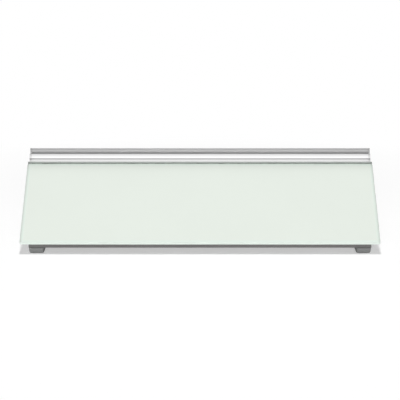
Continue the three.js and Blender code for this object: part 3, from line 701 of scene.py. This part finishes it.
# Glass pane, drawn flat and then tilted
def glass_pane():
    chamfer, top = GLASS_CHAMFER, GLASS_THICKNESS
    plan = rectangle(HALF_GLASS, GLASS_LENGTH / 2, GLASS_CORNER_RADIUS, steps=14)
    edge = ((chamfer, 0), (0, chamfer), (0, top - chamfer), (chamfer, top))
    corners = [(*corner, GLASS_EASE) for corner in edge]
    corners += [(2 * chamfer, top, 0), (2 * chamfer, 0, 0)]
    sections = [(point.y, inset(plan, point.x)) for point in eased(corners, steps=4)[:-2]]
    pane = upward("glass_pane", sections, (0, GLASS_LENGTH / 2))
    pane.data.transform(Matrix.Translation(GLASS_FRONT) @ Matrix.Rotation(TILT, 4, "X"))
    return soften(pane, angle=20)


stand_in(glass_pane(), GLASS, "glass", "glass_panel")


# Rail section, measured from the top edge of the glass face
RAIL_ANGLE = 24
LIP_TOP = LIP_HEIGHT * RUN
LIP_BACK = LIP_THICKNESS - LIP_HEIGHT * RISE
TROUGH_RIM = LIP_TOP - LIP_RETURN
STEP_TOP = TROUGH_RIM + STEP_HEIGHT
WALL_TOP = STEP_TOP + COVE_HEIGHT
BACK_TOP = WALL_TOP + BACK_WALL_RISE
SLOT_FRONT = TROUGH_REACH + COVE_DEPTH
SLOT_START = SLOT_FRONT + SLOT_FRONT_THICKNESS
SLOT_END = SLOT_START + SLOT_WIDTH
SLOT_FLOOR = RAIL_SKIN - RAIL_DROP


def nose_at(up):
    """How far behind the glass's top edge the rail's front face lies at a height."""
    return (CLOSE_GAP - up * RISE) / RUN


def rail_section(with_slot, ease):
    """The rail's side view, or the plainer one of the caps, which close the slot."""
    edge = WALL_EDGE_RADIUS
    hem = BACK_TOP - HEM_HEIGHT
    recess_top = (SLOT_END + HEM_DEPTH, hem)
    recess_foot = (SLOT_END, WALL_TOP)
    depth_share, height_share = RECESS_SHARES
    recess_control = (SLOT_END + depth_share * HEM_DEPTH, hem - height_share * (hem - WALL_TOP))
    floor, radius = (SLOT_FLOOR, SLOT_FLOOR_RADIUS) if with_slot else (WALL_TOP - edge, ease)
    cove_top = (SLOT_FRONT, WALL_TOP - edge)
    cove_control = (SLOT_FRONT - COVE_DEPTH / 4, STEP_TOP + COVE_HEIGHT / 3)
    cove_foot = (TROUGH_REACH + edge, STEP_TOP)
    trough_back = (TROUGH_REACH, TROUGH_RIM)
    trough_control = (TROUGH_REACH - TROUGH_PULL, TROUGH_RIM - 2 * TROUGH_SAG)
    trough_front = (LIP_BACK + LIP_RETURN, TROUGH_RIM)
    corners = [
        (nose_at(-RAIL_DROP), -RAIL_DROP, ease),
        (RAIL_DEPTH, -RAIL_DROP, ease),
        (RAIL_DEPTH, BACK_TOP, edge),
        (SLOT_END, BACK_TOP, edge),
        (SLOT_END, hem, ease / 2),
        (*recess_top, ease / 2),
        *quadratic(recess_top, recess_control, recess_foot, RECESS_STEPS),
        (*recess_foot, 0),
        (SLOT_END, floor, radius),
        (SLOT_START, floor, radius),
        (SLOT_START, WALL_TOP, edge),
        (SLOT_FRONT, WALL_TOP, edge),
        *quadratic(cove_top, cove_control, cove_foot, COVE_STEPS),
        (*cove_foot, 0),
        (TROUGH_REACH, STEP_TOP, ease),
        (*trough_back, 0),
        *quadratic(trough_back, trough_control, trough_front, TROUGH_STEPS),
        (*trough_front, 0),
        (LIP_BACK, LIP_TOP, ease),
        (nose_at(LIP_TOP), LIP_TOP, ease),
    ]
    return eased(corners, steps=8)


def chamber_section(clearance):
    """The hollow under the trough, which the end caps' pegs enter."""
    low = SLOT_FLOOR + clearance
    high = TROUGH_RIM - TROUGH_SAG - RAIL_SKIN - clearance
    side = RAIL_SKIN / RUN + clearance
    rear = SLOT_START - RAIL_SKIN - clearance
    outline = ((nose_at(low) + side, low), (rear, low), (rear, high), (nose_at(high) + side, high))
    return eased([(*corner, CHAMBER_RADIUS) for corner in outline])


def rail():
    start, end = rail_low.x, rail_high.x
    rounds = (RAIL_END_EASE, RAIL_END_EASE)
    section = rail_section(True, RAIL_EASE)
    body = along_x("rail_extrusion", section, start, end, RAIL_ORIGIN, rounds)
    cut(body, along_x("chamber", chamber_section(0), start - OVERRUN, end + OVERRUN, RAIL_ORIGIN))
    for place in middles("rail_screw"):
        cut(body, bore(rail_low.z - OVERRUN, rail_low.z + RAIL_BORE_REACH, place))
    return soften(body, RAIL_ANGLE)


def lowered(section, give):
    """The cap's outline with its top side lowered, inside the outline it starts from."""
    points = []
    for point in section:
        drop = give / CAP_TOP_SHARPNESS if point.y > WALL_TOP + HEM_HEIGHT else give
        up = max(point.y - drop, -RAIL_DROP)
        points.append(Vector((max(point.x, nose_at(up)), up)))
    return points


def end_cap(name, side):
    """The right end's cap with its peg, mirrored for the left end."""
    inner = rail_high.x + CLOSE_GAP
    section = anticlockwise(rail_section(False, CAP_EASE))
    edge = reversed(quarter_round(CAP_FACE_ROUND, 8))
    sections = [(inner, section)]
    sections += [(CAP_FACE - depth, lowered(section, give)) for depth, give in edge]
    plate = sideways(name, sections, RAIL_ORIGIN)
    tip, root = inner - CAP_PEG_LENGTH, (inner + CAP_FACE) / 2
    join(plate, along_x("peg", chamber_section(SEAT_GAP), tip, root, RAIL_ORIGIN, (CAP_EASE, 0)))
    return soften(mirrored(plate, side), RAIL_ANGLE)


def slot_liner():
    """A soft strip in the slot's floor, ribbed lengthwise so that a phone doesn't slip."""
    start, end = SLOT_START + SEAT_GAP, SLOT_END - SEAT_GAP
    low = SLOT_FLOOR + SEAT_GAP
    high = low + LINER_THICKNESS
    pitch = (end - start) / LINER_RIBS
    foot, top = (pitch * share for share in LINER_RIB_SHARES)
    points = [(start, low, LINER_THICKNESS / 2), (end, low, LINER_THICKNESS / 2)]
    for rib in range(LINER_RIBS):
        rear = end - rib * pitch
        front = rear - pitch
        points += [
            (rear - foot, high - LINER_RIB_HEIGHT, 0),
            (rear - top, high, 0),
            (front + top, high, 0),
            (front + foot, high - LINER_RIB_HEIGHT, 0),
        ]
    liner_low, liner_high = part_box("phone_slot_liner")
    strip = along_x("slot_liner", eased(points), liner_low.x, liner_high.x, RAIL_ORIGIN)
    return soften(strip, RAIL_ANGLE)


stand_in(rail(), RAIL, "rail", "top_rail")
for word, side in SIDES:
    stand_in(end_cap("end_cap_" + word, side), CAP, "rail_cap", "rail_end_cap_" + word)
stand_in(slot_liner(), LINER, "liner", "phone_slot_liner")


# Housing side view, measured back from the lowest edge of the glass and up from the desk
FRONT = Vector((0, GLASS_FRONT.y, 0))
HALF_HOUSING = housing_high.x
INSIDE = HALF_HOUSING - HOUSING_WALL
RIM_HEIGHT = housing_low.z
SHOULDER_TOP = housing_high.z
SHOULDER_FRONT = ((SHOULDER_TOP - GLASS_FRONT.z) * RUN + DECK_DROP) / RISE
REAR_TOP = rail_high.y - FRONT.y - HOUSING_REAR_INSET
REAR_BOTTOM = REAR_TOP - HOUSING_REAR_DRAFT
COVER_BOTTOM = RIM_HEIGHT + COVER_RECESS
COVER_TOP = COVER_BOTTOM + COVER_THICKNESS
CUP_TOP = COVER_TOP + SCREW_CUP_RISE
RIB_BOTTOM = COVER_TOP + SEAT_GAP
MOUTH_FRONT = BAY_FRONT + MOUTH_MARGIN
MOUTH_REAR = REAR_BOTTOM - HOUSING_WALL - MOUTH_MARGIN
MOUTH_BOTTOM = COVER_TOP + MOUTH_SILL


def deck_height(back, give=0):
    """How high the deck lies, drawn in by a distance."""
    return GLASS_FRONT.z + (back * RISE - DECK_DROP) / RUN - give / RUN


def kink_at(give):
    """Where the deck turns into the shoulder, drawn in by a distance."""
    return SHOULDER_FRONT + (give / RUN - give) * (RUN / RISE)


def rear_wall_at(give, height):
    """How far back the rear wall lies at a height, drawn in by a distance."""
    share = (height - RIM_HEIGHT) / (SHOULDER_TOP - RIM_HEIGHT)
    return REAR_BOTTOM - give + HOUSING_REAR_DRAFT * share


def housing_side(give, bottom, rim_radius, radius):
    nose = HOUSING_SETBACK + give
    shoulder = SHOULDER_TOP - give
    corners = [
        (nose, bottom, rim_radius),
        (nose, deck_height(nose, give), radius),
        (kink_at(give), shoulder, radius),
        (REAR_TOP - give, shoulder, radius),
        (REAR_BOTTOM - give, bottom, rim_radius),
    ]
    return eased(corners)


def mouth_side(clearance, bottom):
    """A drawer's mouth, or what passes through it, drawn in by a clearance."""
    headroom = MOUTH_HEADROOM + clearance
    front = MOUTH_FRONT + clearance
    rear = MOUTH_REAR - clearance
    top = SHOULDER_TOP - headroom
    outline = (
        (front, bottom),
        (front, deck_height(front, headroom)),
        (kink_at(headroom), top),
        (rear, top),
        (rear, bottom),
    )
    return eased([(*corner, MOUTH_CORNER_RADIUS) for corner in outline], steps=8)


def under_deck(front, rear):
    """The side view of a web between the cover and the deck."""
    return [
        (front, RIB_BOTTOM),
        (rear, RIB_BOTTOM),
        (rear, deck_height(rear, WEB_ROOT)),
        (front, deck_height(front, WEB_ROOT)),
    ]


def shell_line(give):
    """The shell's side view from the bays' front wall back and down, drawn in by a distance."""
    front, top = BAY_FRONT - WEB_ROOT, SHOULDER_TOP - give
    return [
        (front, deck_height(front, give)),
        (kink_at(give), top),
        (rear_wall_at(give, top), top),
        (rear_wall_at(give, RIB_BOTTOM), RIB_BOTTOM),
    ]


def web(corners, low, high):
    """A flat wall or rib inside the housing, from its side view."""
    return along_x("web", [Vector(corner) for corner in corners], low, high, FRONT)


def webs():
    """The bays' walls, then the ribs under the nose and around the bays."""
    nose = under_deck(HOUSING_SETBACK + WEB_ROOT, BAY_FRONT - WEB_ROOT)
    inner_line = shell_line(WEB_ROOT)[::-1]
    rib = shell_line(HOUSING_WALL + DECK_RIB_DEPTH) + inner_line
    wall = [(BAY_FRONT - WEB_ROOT, RIB_BOTTOM)] + inner_line
    front_wall = under_deck(BAY_FRONT - HOUSING_WALL, BAY_FRONT)
    made = [web(front_wall, -INSIDE - WEB_ROOT, INSIDE + WEB_ROOT)]
    for _, side in SIDES:
        made.append(web(wall, *sorted((side * BAY_END, side * (BAY_END - HOUSING_WALL)))))
    half = RIB_THICKNESS / 2
    for number in range(int((INSIDE - BAY_END) / DECK_RIB_SPACING) + 1):
        for _, side in SIDES:
            x = side * (BAY_END + number * DECK_RIB_SPACING)
            made.append(web(nose, x - half, x + half))
            if number > 0:
                made.append(web(rib, x - half, x + half))
    return made


def boss(place):
    """A screw boss that hangs from the deck or the shoulder."""
    bottom = CUP_TOP + SEAT_GAP
    low, high = [], []
    for point in disc(BOSS_RADIUS, steps=24):
        x, y = place.x + point.x, place.y + point.y
        ceiling = min(deck_height(y - FRONT.y, WEB_ROOT), SHOULDER_TOP - WEB_ROOT)
        low.append(Vector((x, y, bottom)))
        high.append(Vector((x, y, ceiling)))
    hole = bore(bottom - OVERRUN, bottom + BOSS_BORE_DEPTH, place)
    return cut(loft("boss", [low, high]), hole)


def mouth_cutter(side):
    """Cuts a drawer's mouth, its outer edge rounded over."""
    section = anticlockwise(mouth_side(0, MOUTH_BOTTOM))
    stations = [(INSIDE - OVERRUN, 0), (HALF_HOUSING - MOUTH_LIP, 0)]
    stations += [(HALF_HOUSING - give, -depth) for depth, give in quarter_round(MOUTH_LIP, 5)[1:]]
    stations.append((HALF_HOUSING + OVERRUN, -MOUTH_LIP))
    cutter = sideways("mouth", [(x, inset(section, give)) for x, give in stations], FRONT)
    return mirrored(cutter, side)


def housing():
    """The shell with its bays, ribs, screw bosses and the two drawer mouths."""
    side = housing_side(0, RIM_HEIGHT, HOUSING_RIM_RADIUS, HOUSING_EDGE_RADIUS)
    rounds = (HOUSING_END_ROUND, HOUSING_END_ROUND)
    shell = along_x("housing_shell", side, -HALF_HOUSING, HALF_HOUSING, FRONT, rounds)
    room = housing_side(HOUSING_WALL, RIM_HEIGHT - OVERRUN, 0, HOUSING_RIM_RADIUS)
    cut(shell, along_x("room", room, -INSIDE, INSIDE, FRONT))
    cut(shell, *(mouth_cutter(end) for _, end in SIDES))
    low, high = SHOULDER_TOP - HOUSING_WALL - OVERRUN, SHOULDER_TOP + OVERRUN
    cut(shell, together([bore(low, high, place) for place in middles("rail_screw")]))
    join(shell, *webs(), *(boss(place) for place in middles("cover_screw")))
    return soften(shell)


stand_in(housing(), HOUSING, "housing", "housing")


# Bottom cover with screw cups, foot bosses and the drawers' stop blocks
COVER_MIDDLE = (COVER_BOTTOM + COVER_TOP) / 2
RUNNER_PLACES = middles("right_runner")
STOP_MIDDLE = (RUNNER_PLACES[0].y + RUNNER_PLACES[1].y) / 2
STOP_FRONT = STOP_MIDDLE - STOP_WIDTH / 2
STOP_REAR = STOP_MIDDLE + STOP_WIDTH / 2
TRAY_LOW, TRAY_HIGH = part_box("right_drawer_tray")


def cover_post(radius, top, place):
    """A round post on the cover, its top edge eased."""
    levels = [(COVER_MIDDLE, radius), (top - COVER_EASE, radius), (top, radius - COVER_EASE)]
    return turned("post", levels, place)


def bottom_cover():
    front = FRONT.y + HOUSING_SETBACK + HOUSING_WALL + SEAT_GAP
    rear = FRONT.y + REAR_BOTTOM - HOUSING_WALL - SEAT_GAP
    plan = rectangle(INSIDE - SEAT_GAP, (rear - front) / 2, COVER_CORNER_RADIUS)
    middle = (0, (front + rear) / 2)
    rounds = (COVER_EASE, COVER_EASE)
    plate = slab("base_cover", plan, COVER_BOTTOM, COVER_TOP, middle, rounds)
    cups, feet = middles("cover_screw"), middles("foot_screw")
    boss_top = COVER_TOP + FOOT_BOSS_RISE
    raised = [cover_post(SCREW_CUP_RADIUS, CUP_TOP, place) for place in cups]
    raised += [cover_post(FOOT_BOSS_RADIUS, boss_top, place) for place in feet]
    stop_inner = TRAY_LOW.x + DRAWER_WALL + DRAWER_TRAVEL + STOP_GAP
    for _, side in SIDES:
        ends = sorted((side * stop_inner, side * (stop_inner + STOP_LENGTH)))
        high = (ends[1], STOP_REAR, COVER_TOP + STOP_HEIGHT)
        raised.append(block((ends[0], STOP_FRONT, COVER_MIDDLE), high))
    join(plate, together(raised))
    below, above = COVER_BOTTOM - OVERRUN, CUP_TOP + OVERRUN
    seat = COVER_BOTTOM + SCREW_HEAD_HEIGHT + SEAT_GAP
    holes = [screw_hole(below, seat, above, place) for place in cups]
    holes += [bore(below, above, place) for place in feet]
    runner_low, runner_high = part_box("right_runner_front")
    for share in RUNNER_PEG_SHARES:
        x = RUNNER_PLACES[0].x + share * (runner_high.x - runner_low.x)
        for place in RUNNER_PLACES:
            for _, side in SIDES:
                peg = (side * x, place.y)
                holes.append(bore(below, above, peg, RUNNER_PEG_RADIUS + SEAT_GAP))
    cut(plate, together(holes))
    return soften(plate)


stand_in(bottom_cover(), HOUSING, "housing", "bottom_cover")


# Runners: strips with rounded ends, each pegged to the cover
def runner(node_name):
    low, high, middle, half_x, half_y = measured(node_name)
    plan = rectangle(half_x, half_y, half_y / 2, steps=6)
    bottom = high.z - RUNNER_HEIGHT
    rounds = (0, COVER_EASE)
    strip = slab("runner_strip_" + node_name, plan, bottom, high.z, middle, rounds)
    levels = [
        (low.z, RUNNER_PEG_RADIUS - COVER_EASE),
        (low.z + COVER_EASE, RUNNER_PEG_RADIUS),
        (bottom + RUNNER_HEIGHT / 2, RUNNER_PEG_RADIUS),
    ]
    places = [(middle.x + share * 2 * half_x, middle.y) for share in RUNNER_PEG_SHARES]
    return soften(join(strip, together([turned("peg", levels, place) for place in places])))


for word, _ in SIDES:
    for end in ("front", "rear"):
        name = word + "_runner_" + end
        stand_in(runner(name), RUNNER, "runner", name)


# Feet: drafted, bevelled towards the middle of the board, with a pocket for the sole
def foot_plan(half_x, half_y, draft, round_give):
    """The front right foot's plan: its four sides drawn in by both, the bevel by one."""
    bevel_x, bevel_y = FOOT_BEVEL_WIDTH, FOOT_BEVEL_LENGTH
    give = draft + round_give
    moved = 1 + round_give * math.hypot(1 / bevel_x, 1 / bevel_y)
    outline = (
        (give - half_x, bevel_y * (moved - give / bevel_x) - half_y),
        (bevel_x * (moved - give / bevel_y) - half_x, give - half_y),
        (half_x - give, give - half_y),
        (half_x - give, half_y - give),
        (give - half_x, half_y - give),
    )
    return eased([(*corner, FOOT_UPRIGHT_RADIUS) for corner in outline], steps=5)


def foot(corner, mirror_x, mirror_y):
    low, high, middle, half_x, half_y = measured("foot_" + corner)
    height = RIM_HEIGHT - CLOSE_GAP - low.z
    sections = []
    for level, give in rounded_ends(0, height, (FOOT_CORNER_RADIUS, FOOT_TOP_ROUND), (7, 5)):
        draft = FOOT_DRAFT * (1 - level / height)
        sections.append((low.z + level, foot_plan(half_x, half_y, draft, give)))
    body = upward("foot_body_" + corner, sections)
    pocket_top = SOLE_THICKNESS + SEAT_GAP
    plan = rectangle(half_x - SOLE_MARGIN, half_y - SOLE_MARGIN, FOOT_CORNER_RADIUS, steps=6)
    seat = pocket_top + SCREW_HEAD_HEIGHT + 2 * SEAT_GAP
    cut(body, slab("pocket", plan, -OVERRUN, pocket_top), screw_hole(0, seat, high.z + OVERRUN))
    mirrored(body, mirror_x, mirror_y)
    body.data.transform(Matrix.Translation((middle.x, middle.y, 0)))
    return soften(body)


def sole(corner):
    """A rubber sole with grooves across it."""
    low, high, middle, half_x, half_y = measured("foot_sole_" + corner)
    plan = rectangle(half_x, half_y, FOOT_CORNER_RADIUS, steps=6)
    pad = slab("sole_pad_" + corner, plan, low.z, high.z, middle, (SOLE_EASE, 0))
    pitch = 2 * half_y / (SOLE_GROOVES + 1)
    grooves = []
    for groove in range(1, SOLE_GROOVES + 1):
        y = low.y + groove * pitch
        first = (low.x - OVERRUN, y - SOLE_GROOVE_WIDTH / 2, low.z - OVERRUN)
        last = (high.x + OVERRUN, y + SOLE_GROOVE_WIDTH / 2, low.z + SOLE_GROOVE_DEPTH)
        grooves.append(block(first, last))
    return soften(cut(pad, together(grooves)))


for end, mirror_y in (("front", 1), ("rear", -1)):
    for word, side in SIDES:
        corner = end + "_" + word
        stand_in(foot(corner, side, mirror_y), FOOT, "foot", "foot_" + corner)
        stand_in(sole(corner), SOLE, "sole", "foot_sole_" + corner)


# Drawers, built for the right end and mirrored for the left
DRAWER_INNER, DRAWER_OUTER = TRAY_LOW.x, TRAY_HIGH.x
DRAWER_FLOOR = COVER_TOP + 2 * SEAT_GAP + RUNNER_HEIGHT


def cut_drawer_screws(piece, start, end):
    """Cuts the holes for the two screws that hold a drawer's front."""
    for place in middles("right_drawer_screw"):
        cut(piece, along_x("hole", disc(SHANK_HOLE), start, end, Vector((0, place.y, place.z))))


def tray(name, side):
    outer = mouth_side(DRAWER_CLEARANCE, DRAWER_FLOOR)
    body = along_x(name, outer, DRAWER_INNER, DRAWER_OUTER, FRONT)
    wall, radius = DRAWER_WALL, MOUTH_CORNER_RADIUS
    front = MOUTH_FRONT + DRAWER_CLEARANCE + wall
    rear = MOUTH_REAR - DRAWER_CLEARANCE - wall
    low, high = DRAWER_FLOOR + wall, SHOULDER_TOP + OVERRUN
    corners = [(front, low, radius), (rear, low, radius), (rear, high, 0), (front, high, 0)]
    ends = (DRAWER_INNER + wall, DRAWER_OUTER - wall)
    cut(body, along_x("room", eased(corners, steps=8), *ends, FRONT, (TRAY_EASE, TRAY_EASE)))
    tab_low = (DRAWER_INNER, STOP_FRONT, DRAWER_FLOOR - STOP_TAB_DEPTH)
    tab_high = (DRAWER_INNER + wall, STOP_REAR, DRAWER_FLOOR + wall / 2)
    join(body, block(tab_low, tab_high))
    cut_drawer_screws(body, ends[1] - wall, HALF_HOUSING)
    return soften(mirrored(body, side), bevel=TRAY_EASE)


def pull_plan(give, root):
    """The pull's plan: a shallow bow that stands out of the drawer's front."""
    middle = (MOUTH_FRONT + MOUTH_REAR) / 2
    half = PULL_WIDTH / 2 - give
    face = HALF_HOUSING + PULL_REACH - give
    curves = (
        ((root, -half), (face, -half), (face, -half / 2), (face, 0)),
        ((face, 0), (face, half / 2), (face, half), (root, half)),
    )
    points = []
    for curve in curves:
        first, second, third, last = (Vector(corner) for corner in curve)
        for step in range(PULL_STEPS):
            t = step / PULL_STEPS
            u = 1 - t
            near = u**3 * first + 3 * u * u * t * second
            points.append(near + 3 * u * t * t * third + t**3 * last)
    points.append(last)
    return anticlockwise([point + Vector((0, middle + FRONT.y)) for point in points])


def drawer_front(name, side):
    inner = HALF_HOUSING - FRONT_THICKNESS
    section = mouth_side(FRONT_CLEARANCE, MOUTH_BOTTOM + FRONT_CLEARANCE)
    panel = along_x(name, section, inner, HALF_HOUSING, FRONT, (COVER_EASE, FRONT_EASE))
    plan = pull_plan(0, HALF_HOUSING - FRONT_THICKNESS / 2)
    ceiling = PULL_HEIGHT - PULL_THICKNESS
    bottom = ceiling - PULL_HOOK
    rounds = (PULL_EASE, PULL_EASE)
    join(panel, slab("grip", plan, bottom, PULL_HEIGHT, rounds=rounds, steps=(5, 5)))
    under = pull_plan(PULL_THICKNESS, HALF_HOUSING)
    levels = [(bottom - OVERRUN, 0), (ceiling - PULL_EASE, 0), (ceiling, PULL_EASE)]
    cut(panel, upward("under", [(height, inset(under, give)) for height, give in levels]))
    screw_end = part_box("right_drawer_screw_front")[1].x
    cut_drawer_screws(panel, inner - OVERRUN, screw_end + SEAT_GAP)
    return soften(mirrored(panel, side))


for word, side in SIDES:
    drawer = word + "_drawer"
    stand_in(tray(word + "_tray_body", side), TRAY, "tray", drawer + "_tray", body=drawer)
    panel = drawer_front(word + "_front_panel", side)
    stand_in(panel, HOUSING, "housing", drawer + "_front", body=drawer)


# Screws: domed head with a hexagonal socket, and a helical thread
def thread(low, high):
    """A ridge that winds round the shank."""
    steps = int((high - low) / SCREW_PITCH * THREAD_STEPS)
    root = SCREW_CORE_RADIUS * THREAD_ROOT_SHARE
    half = SCREW_PITCH * THREAD_HALF_SHARE
    flat = half / THREAD_SHARPNESS
    rings = []
    for step in range(steps + 1):
        angle = 2 * math.pi * step / THREAD_STEPS
        height = low + (high - low) * step / steps
        way = Vector((math.cos(angle), math.sin(angle), 0))
        swell = min(1, step / THREAD_RUN_IN, (steps - step) / THREAD_RUN_IN)
        crest = SCREW_CORE_RADIUS + (SCREW_CREST_RADIUS - SCREW_CORE_RADIUS) * swell
        points = ((root, -half), (crest, -flat), (crest, flat), (root, half))
        rings.append([way * r + Vector((0, 0, height + z)) for r, z in points])
    return loft("thread", rings)


def screw(node_name):
    low, high, middle = measured(node_name)[:3]
    across = "drawer" in node_name
    head = SCREW_HEAD_HEIGHT
    length = (high.x - low.x if across else high.z - low.z) - head
    profile = zip(SCREW_HEAD_HEIGHTS, SCREW_HEAD_RADII)
    levels = [(-up * head, out * SCREW_HEAD_RADIUS) for up, out in profile]
    levels += [
        (0, SCREW_CORE_RADIUS),
        (length - SCREW_TIP_LENGTH, SCREW_CORE_RADIUS),
        (length, SCREW_TIP_SHARE * SCREW_CORE_RADIUS),
    ]
    piece = turned("fixing_" + node_name, levels, steps=28)
    radius = SCREW_SOCKET_RADIUS
    levels = [(-head - OVERRUN, radius), (SCREW_SOCKET_DEPTH - head, radius)]
    cut(piece, turned("socket", levels, steps=6))
    join(piece, thread(THREAD_START, length - THREAD_MARGIN))
    if across:
        side = 1 if middle.x > 0 else -1
        seat = low.x + head if side > 0 else high.x - head
        turn = Matrix.Rotation(side * math.pi / 2, 4, "Y")
        piece.data.transform(Matrix.Translation((seat, middle.y, middle.z)) @ turn)
    else:
        piece.data.transform(Matrix.Translation((middle.x, middle.y, low.z + head)))
    return soften(piece, angle=30)


for name in sorted(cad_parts):
    if "screw" in name:
        body = name[: name.index("_drawer")] + "_drawer" if "drawer" in name else "board"
        stand_in(screw(name), SCREW, "screw", name, body=body)


# Pieces kept as they are in the frame
dress(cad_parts["backing_sheet"], BACKING)
for place in ("lower", "middle", "upper"):
    dress(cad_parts["mounting_tape_" + place], TAPE)


# Studio: a pale floor, two soft lamps and an even surround
FLOOR_HALF = 9.0
SHADOW_REACH = 0.42
WHITE_REACH = 0.75
FLOOR_GLOW = 0.486
FLOOR_RESPONSE = 0.6
FLOOR_BOUNCE = 0.66
FILL_HORIZON = 0.09
FILL_ZENITH = 0.12
REFLECTED_LOW = 0.7
REFLECTED_HIGH = 1.15
REFLECTED_CROWN = 0.6
REFLECTED_TO = 0.35


def mix_shaders(share, first, second):
    inputs = {0: share, 1: first.outputs[0], 2: second.outputs[0]}
    return node(share.id_data, "MixShader", inputs)


def floor():
    """White where it is far, and near the object a plain surface that takes its shadow."""
    corners = [(*corner, 0) for corner in rectangle(FLOOR_HALF, FLOOR_HALF, 0)]
    data = bpy.data.meshes.new("studio_floor")
    data.from_pydata(corners, [], [(0, 1, 2, 3)])
    material = bpy.data.materials.new("studio_floor")
    material.use_nodes = True
    tree = material.node_tree
    tree.nodes.remove(tree.nodes["Principled BSDF"])
    place = node(tree, "TexCoord").outputs["Object"]
    reach = node(tree, "VectorMath", {0: place}, operation="LENGTH").outputs["Value"]
    far = spread(reach, 0, 1, SHADOW_REACH, WHITE_REACH)
    bounce = node(tree, "BsdfDiffuse", {"Color": grey(FLOOR_BOUNCE)})
    shaded = node(tree, "BsdfDiffuse", {"Color": grey(FLOOR_RESPONSE)})
    glow = node(tree, "Emission", {"Strength": FLOOR_GLOW})
    white = node(tree, "Emission", {"Strength": 1.0})
    near = node(tree, "AddShader", {0: shaded.outputs[0], 1: glow.outputs[0]})
    camera_ray = node(tree, "LightPath").outputs["Is Camera Ray"]
    result = mix_shaders(camera_ray, bounce, mix_shaders(far, near, white))
    feed(tree.nodes["Material Output"].inputs["Surface"], result.outputs[0])
    data.materials.append(material)
    piece = linked("studio_floor", data)


def background(tree, level):
    return node(tree, "Background", {"Color": grey(1), "Strength": level})


def surround():
    """An even fill for the surfaces, a brighter room in reflections, and white for the camera."""
    world = bpy.data.worlds.new("surround")
    bpy.context.scene.world = world
    world.use_nodes = True
    tree = world.node_tree
    tree.nodes.clear()
    up = apart(node(tree, "TexCoord").outputs["Generated"])["Z"]
    fill = background(tree, spread(up, FILL_HORIZON, FILL_ZENITH, 0, 1))
    rim = spread(up, REFLECTED_LOW, REFLECTED_HIGH, 0, REFLECTED_TO)
    crown = spread(up, 0, REFLECTED_CROWN, REFLECTED_TO, 1)
    reflected = background(tree, maths("ADD", rim, crown))
    path = node(tree, "LightPath").outputs
    seen = maths("MAXIMUM", path["Is Camera Ray"], path["Is Transmission Ray"])
    lighting = mix_shaders(path["Is Glossy Ray"], fill, reflected)
    result = mix_shaders(seen, lighting, background(tree, 1.0))
    node(tree, "OutputWorld", {"Surface": result.outputs[0]})


def lamp(name, place, side, level):
    """A square light aimed at the board; its level is what it adds to white that faces it."""
    data = bpy.data.lights.new(name, "AREA")
    data.shape = "SQUARE"
    data.size = side
    data.energy = level * math.pi**2 * place.length_squared
    made = linked(name, data)
    made.location = place
    made.rotation_euler = place.to_track_quat("Z", "Y").to_euler()
    made.visible_glossy = False


# Camera: a long lens, a little above the desk
CAMERA_ELEVATION = math.radians(12.2)
FOCAL_PIXELS = 1842
FRAME_PIXELS = 400
SENSOR_WIDTH = 36
CAMERA_DISTANCE = 2.33
CAMERA_RAISE = 0.05376


def camera():
    data = bpy.data.cameras.new("camera")
    data.sensor_width = SENSOR_WIDTH
    data.lens = SENSOR_WIDTH * FOCAL_PIXELS / FRAME_PIXELS
    taker = linked("camera", data)
    ahead = Vector((0, math.cos(CAMERA_ELEVATION), -math.sin(CAMERA_ELEVATION)))
    above = Vector((0, math.sin(CAMERA_ELEVATION), math.cos(CAMERA_ELEVATION)))
    edge = GLASS_FRONT + Vector((0, -GLASS_THICKNESS * RISE, GLASS_THICKNESS * RUN))
    taker.location = edge - ahead * CAMERA_DISTANCE + above * CAMERA_RAISE
    taker.rotation_euler = (math.pi / 2 - CAMERA_ELEVATION, 0, 0)
    bpy.context.scene.camera = taker


floor()
surround()
lamp("overhead", Vector((0, -0.2, 4.0)), side=0.42, level=0.675)
lamp("front", Vector((0, -3.4, 0.45)), side=0.9, level=0.5)
camera()
bpy.context.scene.view_settings.view_transform = "Standard"
